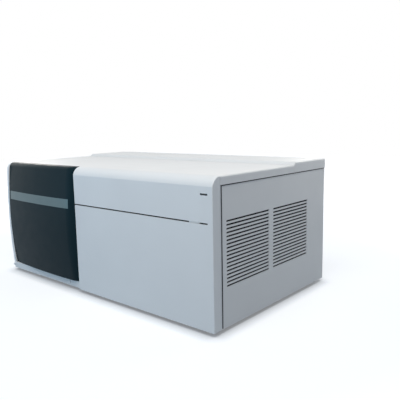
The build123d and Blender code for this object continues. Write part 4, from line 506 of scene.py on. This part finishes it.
def finish_piece(name, shape, body, slot):
    """Makes a piece of a shape, gives it its finish and lets it ride on a body."""
    bmesh.ops.recalc_face_normals(shape, faces=shape.faces)
    # Blender numbers what bmesh makes differently from run to run, so it is put in order along a slant.
    shape.verts.sort(key=lambda corner: corner.co.dot(SLANT))
    shape.edges.sort(key=lambda edge: (edge.verts[0].co + edge.verts[1].co).dot(SLANT))
    shape.faces.sort(key=lambda face: face.calc_center_median().dot(SLANT))
    mesh = bpy.data.meshes.new(name)
    shape.to_mesh(mesh)
    shape.free()
    mesh.shade_smooth()
    mesh.set_sharp_from_angle(angle=math.radians(35))
    mesh.materials.append(finish_for(slot))
    piece = bpy.data.objects.new(name, mesh)
    bpy.context.collection.objects.link(piece)
    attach(piece, body)


# ---- Operators: finishes ----
class SPECTROMETER_OT_casework(bpy.types.Operator):
    """Finish the covers, panels, tray, frame and feet"""

    bl_idname = "spectrometer.casework"
    bl_label = "Casework"
    nodes = ("front_cover", "status_lamp", "dark_panel", "blank_stripe", "panel_surround", "top_front_cover",
             "top_rear_cover", "right_side_panel", "left_side_panel", "base_tray", "frame", "rubber_feet", "rear_panel")

    def execute(self, context):
        dress_nodes(self.nodes)
        return {"FINISHED"}


class SPECTROMETER_OT_ion_source(bpy.types.Operator):
    """Finish the source block, the swinging chamber and what it carries"""

    bl_idname = "spectrometer.ion_source"
    bl_label = "Ion source"
    nodes = ("source_block", "spray_shield", "capillary", "spray_chamber", "chamber_flange", "hinge_bracket",
             "hinge_pin", "upper_thumbscrew", "lower_thumbscrew", "chamber_window", "window_ring", "nebulizer",
             "nebulizer_lock", "drain_spout", "divert_valve", "valve_rotor")

    def execute(self, context):
        dress_nodes(self.nodes)
        return {"FINISHED"}


class SPECTROMETER_OT_vacuum(bpy.types.Operator):
    """Finish the manifold, ion optics and pumps"""

    bl_idname = "spectrometer.vacuum"
    bl_label = "Vacuum and ion optics"
    nodes = ("vacuum_manifold", "manifold_seal", "manifold_lid", "manifold_brackets", "skimmer", "entrance_lens",
             "octopole_rods", "octopole_collars", "quadrupole_rods", "quadrupole_collars", "collision_cell",
             "hexapole_rods", "optics_benches", "dynode", "electron_multiplier", "left_turbo_housing",
             "right_turbo_housing", "left_turbo_rotor", "right_turbo_rotor", "foreline_pipe", "foreline_port",
             "gas_inlets")

    def execute(self, context):
        dress_nodes(self.nodes)
        return {"FINISHED"}


class SPECTROMETER_OT_electronics(bpy.types.Operator):
    """Finish the electronics, fans and power inlet"""

    bl_idname = "spectrometer.electronics"
    bl_label = "Electronics"
    nodes = ("electronics_shelf", "rf_generators", "power_supply", "main_board", "fan_housings", "left_fan_rotor",
             "right_fan_rotor", "power_inlet", "power_rocker")

    def execute(self, context):
        dress_nodes(self.nodes)
        return {"FINISHED"}


# ---- Operators: trim ----
SOFT_EDGE = 0.3 * MM         # rounding of seals and inserts
METAL_EDGE = 0.4 * MM        # rounding of sheet and blades

SEAL_LIFT = 3 * MM           # seal's foot above the front cover's
SEAL_LAP = 0.3 * MM          # seal inside the side panel's face
SEAL_STAND = 1.4 * MM        # seal outside it
SEAL_GAP = 0.1 * MM          # seal behind the front cover
SKIRT_GAP = 0.2 * MM         # seal under the top cover's skirt


class SPECTROMETER_OT_edge_seals(bpy.types.Operator):
    """Lay rubber seals behind the front covers' edges and under the top covers' skirts"""

    bl_idname = "spectrometer.edge_seals"
    bl_label = "Edge seals"

    def execute(self, context):
        width = context.scene.spectrometer_trim.seal_width
        cover_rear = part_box("front_cover")[1][1]
        foot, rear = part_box("front_cover")[0][2] + SEAL_LIFT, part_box("rear_panel")[0][1]
        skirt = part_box("top_front_cover")[0][2]
        for side, panel, end in (("right", "right_side_panel", 1), ("left", "left_side_panel", 0)):
            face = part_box(panel)[end][0]
            out = 1 if end else -1
            low, high = sorted((face - out * SEAL_LAP, face + out * SEAL_STAND))
            shape = bmesh.new()
            add_bar(shape, (low, cover_rear + SEAL_GAP, foot), (high, cover_rear + width, skirt - width), SOFT_EDGE)
            add_bar(shape, (low, cover_rear + SEAL_GAP, skirt - width), (high, rear, skirt - SKIRT_GAP), SOFT_EDGE)
            finish_piece("edge_seal_" + side, shape, "chassis", "foot_rubber")
        return {"FINISHED"}


GROOVE_HEIGHT = 331 * MM     # middle of the long groove
GROOVE_END = 19.7 * MM       # gasket's end to the front cover's right edge
GASKET_HALF = 2.2 * MM       # half of the gasket's height
GASKET_THICK = 4 * MM
GASKET_START = 0.5 * MM      # gasket's start to the front cover's left edge
TAB_HALF = 1.6 * MM          # half of the tab's height
TAB_INSET = 31 * MM          # tab's end to the gasket's
TAB_GAP = 0.4 * MM           # tab's ends to the gasket
TAB_FACE = 0.6 * MM          # tab's face behind the front cover's
TAB_ROUNDING = 0.5 * MM


class SPECTROMETER_OT_groove_trim(bpy.types.Operator):
    """Put the gasket and the push tab into the long groove of the front cover"""

    bl_idname = "spectrometer.groove_trim"
    bl_label = "Groove gasket and tab"

    def execute(self, context):
        trim = context.scene.spectrometer_trim
        (left, front, _), (right, _, _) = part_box("front_cover")
        end = right - GROOVE_END
        tab_end = end - TAB_INSET
        tab_start = tab_end - trim.tab_length
        face = front + trim.gasket_depth
        gasket = bmesh.new()
        for start, stop in ((left + GASKET_START, tab_start), (tab_end, end)):
            add_bar(gasket, (start, face, GROOVE_HEIGHT - GASKET_HALF),
                    (stop, face + GASKET_THICK, GROOVE_HEIGHT + GASKET_HALF), SOFT_EDGE)
        finish_piece("groove_gasket", gasket, "chassis", "foot_rubber")
        tab = bmesh.new()
        add_bar(tab, (tab_start + TAB_GAP, front + TAB_FACE, GROOVE_HEIGHT - TAB_HALF),
                (tab_end - TAB_GAP, face + GASKET_THICK, GROOVE_HEIGHT + TAB_HALF), TAB_ROUNDING)
        finish_piece("latch_tab", tab, "chassis", "white_cover")
        return {"FINISHED"}


LOUVRES_Y = (63 * MM, 537 * MM)      # first and last louvre's ends behind the front cover's face
FILTER_Z = (129 * MM, 341 * MM)      # filter's foot and top
FILTER_GAP = 0.2 * MM                # filter to the side panel
FILTER_THICK = 1.4 * MM
FILTER_SINK = 0.5 * MM               # how far the mesh lies behind the border


class SPECTROMETER_OT_dust_filter(bpy.types.Operator):
    """Hang the foam dust filter behind the louvres"""

    bl_idname = "spectrometer.dust_filter"
    bl_label = "Dust filter"

    def execute(self, context):
        border = context.scene.spectrometer_trim.filter_border
        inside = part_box("right_side_panel")[0][0] - FILTER_GAP
        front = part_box("front_cover")[0][1]
        shape = bmesh.new()
        add_bar(shape, (inside - FILTER_THICK, front + LOUVRES_Y[0] - border, FILTER_Z[0]),
                (inside, front + LOUVRES_Y[1] + border, FILTER_Z[1]), METAL_EDGE)
        outer = max(shape.faces, key=lambda face: face.calc_center_median().x)
        bmesh.ops.inset_region(shape, faces=[outer], thickness=border / 2, use_even_offset=True)
        bmesh.ops.translate(shape, vec=(-FILTER_SINK, 0, 0), verts=list(outer.verts))
        finish_piece("dust_filter", shape, "chassis", "foot_rubber")
        return {"FINISHED"}


PANEL_SHARES = (0, 0.25, 0.5, 0.75, 1)     # places of the rear panel's screws along its width
PANEL_INSET = 12 * MM                      # rear panel's screws to its edges
FAN_SPACING = 52.5 * MM                    # fan's axis to its screws, across and up
INLET_INSET = 2.6 * MM                     # inlet's screws to its sides
INLET_RADIUS = 2.2 * MM
HINGE_STEPS = (-38 * MM, 0, 38 * MM)       # places of the hinge's screws from its middle
HINGE_INSET = 10 * MM                      # hinge's screws to the bracket's right side
HINGE_PLATE = 4 * MM                       # thickness of the bracket behind the source block
HINGE_RADIUS = 4.5 * MM


class SPECTROMETER_OT_screws(bpy.types.Operator):
    """Drive the screws of the rear panel, the fans, the power inlet and the hinge"""

    bl_idname = "spectrometer.screws"
    bl_label = "Screws"

    def execute(self, context):
        radius = context.scene.spectrometer_trim.screw_radius
        (left, _, low), (right, rear, high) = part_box("rear_panel")
        shape = bmesh.new()
        for share in PANEL_SHARES:
            x = left + PANEL_INSET + share * (right - left - 2 * PANEL_INSET)
            for z in (low + PANEL_INSET, high - PANEL_INSET):
                add_screw(shape, (x, rear, z), radius)
        for x in (left + PANEL_INSET, right - PANEL_INSET):
            add_screw(shape, (x, rear, (low + high) / 2), radius)
        finish_piece("rear_panel_screws", shape, "chassis", "polished_steel")
        shape = bmesh.new()
        for fan in ("left_fan_rotor", "right_fan_rotor"):
            (x0, _, z0), (x1, _, z1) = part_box(fan)
            for dx in (-FAN_SPACING, FAN_SPACING):
                for dz in (-FAN_SPACING, FAN_SPACING):
                    add_screw(shape, ((x0 + x1) / 2 + dx, rear, (z0 + z1) / 2 + dz), radius)
        finish_piece("fan_screws", shape, "chassis", "polished_steel")
        (x0, _, z0), (x1, face, z1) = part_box("power_inlet")
        shape = bmesh.new()
        for x in (x0 + INLET_INSET, x1 - INLET_INSET):
            add_screw(shape, (x, face, (z0 + z1) / 2), INLET_RADIUS)
        finish_piece("inlet_screws", shape, "chassis", "turned_steel")
        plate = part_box("source_block")[1][1] + HINGE_PLATE
        (_, _, foot), (side, _, top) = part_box("hinge_bracket")
        shape = bmesh.new()
        for dz in HINGE_STEPS:
            add_screw(shape, (side - HINGE_INSET, plate, (foot + top) / 2 + dz), HINGE_RADIUS)
        finish_piece("hinge_screws", shape, "chassis", "polished_steel")
        return {"FINISHED"}


BLADES = ((-7 * MM, -2 * MM), (0, 3 * MM), (7 * MM, -2 * MM))     # places across and up in the socket
SOCKET_DROP = 17 * MM                # socket's middle under the inlet's
BLADE_HALF = (1.2 * MM, 3.2 * MM)    # half of a blade's width and height
BLADE_Y = (17.9 * MM, 8.8 * MM)      # blade's root and tip behind the inlet's face
SHELLS = ((140 * MM, 16 * MM), (175 * MM, 32 * MM), (225 * MM, 32 * MM))     # foot and height of the openings
SHELL_BORDER = 1 * MM                # shell's flange past its opening
SHELL_WIDTH = 16 * MM
SHELL_STAND = 2.6 * MM               # flange's face behind the rear panel
SHELL_SINK = 0.2 * MM                # flange's foot in the rear panel
MOUTH_BORDER = 1.0 * MM
MOUTH_DEPTH = 1.2 * MM
INSERT_INSET = 2.4 * MM
INSERT_Y = (1.2 * MM, 2.2 * MM)      # insert's foot and face behind the rear panel


class SPECTROMETER_OT_contacts(bpy.types.Operator):
    """Fit the metal blades of the power socket and the shells of the rear connectors"""

    bl_idname = "spectrometer.contacts"
    bl_label = "Contacts"

    def execute(self, context):
        (x0, _, z0), (x1, face, z1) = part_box("power_inlet")
        shape = bmesh.new()
        for dx, dz in BLADES:
            x, z = (x0 + x1) / 2 + dx, (z0 + z1) / 2 + dz - SOCKET_DROP
            add_bar(shape, (x - BLADE_HALF[0], face - BLADE_Y[0], z - BLADE_HALF[1]),
                    (x + BLADE_HALF[0], face - BLADE_Y[1], z + BLADE_HALF[1]), METAL_EDGE)
        finish_piece("socket_blades", shape, "chassis", "nickel_fitting")
        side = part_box("main_board")[1][0] + SHELL_BORDER
        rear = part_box("rear_panel")[1][1]
        shells, inserts = bmesh.new(), bmesh.new()
        for foot, tall in SHELLS:
            low = (side - SHELL_WIDTH, rear - SHELL_SINK, foot - SHELL_BORDER)
            high = (side, rear + SHELL_STAND, foot + tall + SHELL_BORDER)
            before = set(shells.faces)
            add_bar(shells, low, high, METAL_EDGE)
            mouth = max((area for area in shells.faces if area not in before),
                        key=lambda area: area.calc_center_median().y)
            bmesh.ops.inset_region(shells, faces=[mouth], thickness=MOUTH_BORDER, use_even_offset=True)
            sunk = bmesh.ops.extrude_discrete_faces(shells, faces=[mouth])["faces"][0]
            bmesh.ops.translate(shells, vec=(0, -MOUTH_DEPTH, 0), verts=list(sunk.verts))
            add_bar(inserts, (low[0] + INSERT_INSET, rear + INSERT_Y[0], low[2] + INSERT_INSET),
                    (high[0] - INSERT_INSET, rear + INSERT_Y[1], high[2] - INSERT_INSET), SOFT_EDGE)
        finish_piece("connector_shells", shells, "chassis", "nickel_fitting")
        finish_piece("connector_inserts", inserts, "chassis", "black_plastic")
        return {"FINISHED"}


# ---- Stage ----
CAMERA_OFFSET = (0.850, -1.0385, 0.6095)     # from the foot of the front cover's right corner
CAMERA_TURN = (40.78, 8.77, 1.09)            # degrees to the left, down and rolled
SENSOR_WIDTH = 36                            # millimetres
CLIP_END = 60                                # past the far corners of the floor
SOFTBOXES = (
    # name, place, target, size, power, colour
    ("High softbox", (0.95, -1.6, 3.05), (0, 0, 0.3), (2.4, 1.8), "key_power", "FFFAF4"),
    ("Low softbox", (-1.6, -3.0, 0.7), (0, 0, 0.25), (2.4, 1.2), "fill_power", "A6DBFF"),
    ("Rear softbox", (0.4, 3.3, 0.95), (0, 0, 0.25), (3.2, 1.4), "rear_power", "FFFBF5"),
    ("Left softbox", (-3.4, 0.5, 0.9), (0, 0, 0.25), (2.4, 1.4), "left_power", "FFFAF2"),
)
SKY_COLOUR = "C2DEFF"
FLOOR_COLOUR = "9AA2AA"
FADE = (1.1, 2.2)                            # distances from the origin between which the floor turns white
SHADE_REACH = 50 * MM                        # how far from the part its painted contact shade spreads
SHADE_OPEN = 0.4                             # openness at which the shade is deepest
SHADE_DEEPEST = 0.3


def put_camera(stage):
    """Camera before the right front corner, a little above the top, turned towards the left end."""
    corner = Vector((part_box("front_cover")[1][0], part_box("front_cover")[0][1], 0))
    place = corner + Vector(CAMERA_OFFSET)
    heading, pitch, roll = (math.radians(turn) for turn in CAMERA_TURN)
    forward = Vector((-math.sin(heading) * math.cos(pitch), math.cos(heading) * math.cos(pitch), -math.sin(pitch)))
    level = forward.cross(Vector((0, 0, 1))).normalized()
    upright = level.cross(forward)
    right = level * math.cos(roll) - upright * math.sin(roll)
    up = upright * math.cos(roll) + level * math.sin(roll)
    camera = bpy.data.objects.new("Camera", bpy.data.cameras.new("Camera"))
    bpy.context.collection.objects.link(camera)
    camera.data.lens = stage.lens
    camera.data.sensor_width = SENSOR_WIDTH
    camera.data.clip_end = CLIP_END
    camera.matrix_world = Matrix.Translation(place) @ Matrix((right, up, -forward)).transposed().to_4x4()
    bpy.context.scene.camera = camera


def put_softbox(name, place, target, size, power, colour):
    """Soft rectangular lamp at a place, turned to a target."""
    lamp = bpy.data.lights.new(name, "AREA")
    lamp.shape = "RECTANGLE"
    lamp.size, lamp.size_y = size
    lamp.energy = power
    lamp.color = linear(colour)[:3]
    box = bpy.data.objects.new(name, lamp)
    bpy.context.collection.objects.link(box)
    box.location = place
    box.rotation_euler = (Vector(target) - Vector(place)).to_track_quat("-Z", "Y").to_euler()


def seen_straight(tree):
    """1 for a ray that sees the surface directly, in a mirror or through glass, and 0 for light that bounces."""
    rays = add(tree, "ShaderNodeLightPath").outputs
    mirrored = add(tree, "ShaderNodeMath", {0: rays["Is Camera Ray"], 1: rays["Is Glossy Ray"]}, operation="MAXIMUM")
    return add(tree, "ShaderNodeMath", {0: mirrored.outputs[0], 1: rays["Is Transmission Ray"]},
               operation="MAXIMUM").outputs[0]


def light_sky(stage):
    """Even soft light; white where it is seen directly, in a mirror or through glass."""
    world = bpy.data.worlds.new("Studio")
    bpy.context.scene.world = world
    world.use_nodes = True
    tree = world.node_tree
    sky = tree.nodes["Background"]
    sky.inputs["Color"].default_value = linear(SKY_COLOUR)
    sky.inputs["Strength"].default_value = stage.sky_strength
    white = add(tree, "ShaderNodeBackground", {"Color": (1, 1, 1, 1), "Strength": 1.0})
    add(tree, "ShaderNodeMixShader", {0: seen_straight(tree), 1: sky.outputs[0], 2: white.outputs[0]},
        feeds=tree.nodes["World Output"].inputs["Surface"])


def lay_floor(stage):
    """Pale floor that keeps the instrument's shadow and whitens where it is seen."""
    mesh = bpy.data.meshes.new("Floor")
    shape = bmesh.new()
    bmesh.ops.create_grid(shape, x_segments=1, y_segments=1, size=stage.floor_size / 2)
    shape.to_mesh(mesh)
    shape.free()
    material, tree, shader, place = start_material("Pale paper floor", Roughness=0.9, Specular_IOR_Level=0.0)
    shader["Base Color"].default_value = linear(FLOOR_COLOUR)
    reach = add(tree, "ShaderNodeVectorMath", {0: place}, operation="LENGTH").outputs["Value"]
    fade = add(tree, "ShaderNodeMapRange", {"Value": reach, "From Min": FADE[0], "From Max": FADE[1],
                                            "To Min": stage.floor_lift, "To Max": 1.0}).outputs["Result"]
    # Ambient occlusion dims the floor's added whiteness over the last few centimetres by the part's foot: a painted
    # contact shadow.
    openness = add(tree, "ShaderNodeAmbientOcclusion", {"Distance": SHADE_REACH}, samples=16).outputs["AO"]
    contact = add(tree, "ShaderNodeMapRange", {"Value": openness, "From Min": SHADE_OPEN, "From Max": 1.0,
                                               "To Min": SHADE_DEEPEST, "To Max": 1.0}).outputs["Result"]
    whiteness = add(tree, "ShaderNodeMath", {0: contact, 1: fade}, operation="MULTIPLY").outputs[0]
    lift = add(tree, "ShaderNodeMath", {0: seen_straight(tree), 1: whiteness}, operation="MULTIPLY")
    white = add(tree, "ShaderNodeEmission", {"Color": (1, 1, 1, 1), "Strength": lift.outputs[0]})
    add(tree, "ShaderNodeAddShader", {0: tree.nodes["Principled BSDF"].outputs[0], 1: white.outputs[0]},
        feeds=tree.nodes["Material Output"].inputs["Surface"])
    mesh.materials.append(material)
    floor = bpy.data.objects.new("Floor", mesh)
    bpy.context.collection.objects.link(floor)


class SPECTROMETER_OT_stage(bpy.types.Operator):
    """Put up the camera, the lamps and the floor"""

    bl_idname = "spectrometer.stage"
    bl_label = "Stage"

    def execute(self, context):
        stage = context.scene.spectrometer_stage
        put_camera(stage)
        for name, place, target, size, power, colour in SOFTBOXES:
            put_softbox(name, place, target, size, getattr(stage, power), colour)
        light_sky(stage)
        lay_floor(stage)
        context.scene.view_settings.view_transform = "Standard"
        return {"FINISHED"}


class SPECTROMETER_PT_panel(bpy.types.Panel):
    """Lists the finishing steps"""

    bl_idname = "SPECTROMETER_PT_panel"
    bl_label = "Mass spectrometer"
    bl_space_type = "VIEW_3D"
    bl_region_type = "UI"
    bl_category = "Spectrometer"

    def draw(self, context):
        for step in STEPS:
            self.layout.operator(step.bl_idname)


STEPS = (SPECTROMETER_OT_casework, SPECTROMETER_OT_ion_source, SPECTROMETER_OT_vacuum, SPECTROMETER_OT_electronics,
         SPECTROMETER_OT_edge_seals, SPECTROMETER_OT_groove_trim, SPECTROMETER_OT_dust_filter, SPECTROMETER_OT_screws,
         SPECTROMETER_OT_contacts, SPECTROMETER_OT_stage)
CLASSES = (SpectrometerColours, SpectrometerTrim, SpectrometerStage) + STEPS + (SPECTROMETER_PT_panel,)


def register():
    for item in CLASSES:
        bpy.utils.register_class(item)
    bpy.types.Scene.spectrometer_colours = bpy.props.PointerProperty(type=SpectrometerColours)
    bpy.types.Scene.spectrometer_trim = bpy.props.PointerProperty(type=SpectrometerTrim)
    bpy.types.Scene.spectrometer_stage = bpy.props.PointerProperty(type=SpectrometerStage)


def unregister():
    del bpy.types.Scene.spectrometer_stage
    del bpy.types.Scene.spectrometer_trim
    del bpy.types.Scene.spectrometer_colours
    for item in reversed(CLASSES):
        bpy.utils.unregister_class(item)


def main():
    register()
    bpy.ops.spectrometer.casework()
    bpy.ops.spectrometer.ion_source()
    bpy.ops.spectrometer.vacuum()
    bpy.ops.spectrometer.electronics()
    bpy.ops.spectrometer.edge_seals()
    bpy.ops.spectrometer.groove_trim()
    bpy.ops.spectrometer.dust_filter()
    bpy.ops.spectrometer.screws()
    bpy.ops.spectrometer.contacts()
    bpy.ops.spectrometer.stage()


if __name__ == "__main__":
    main()
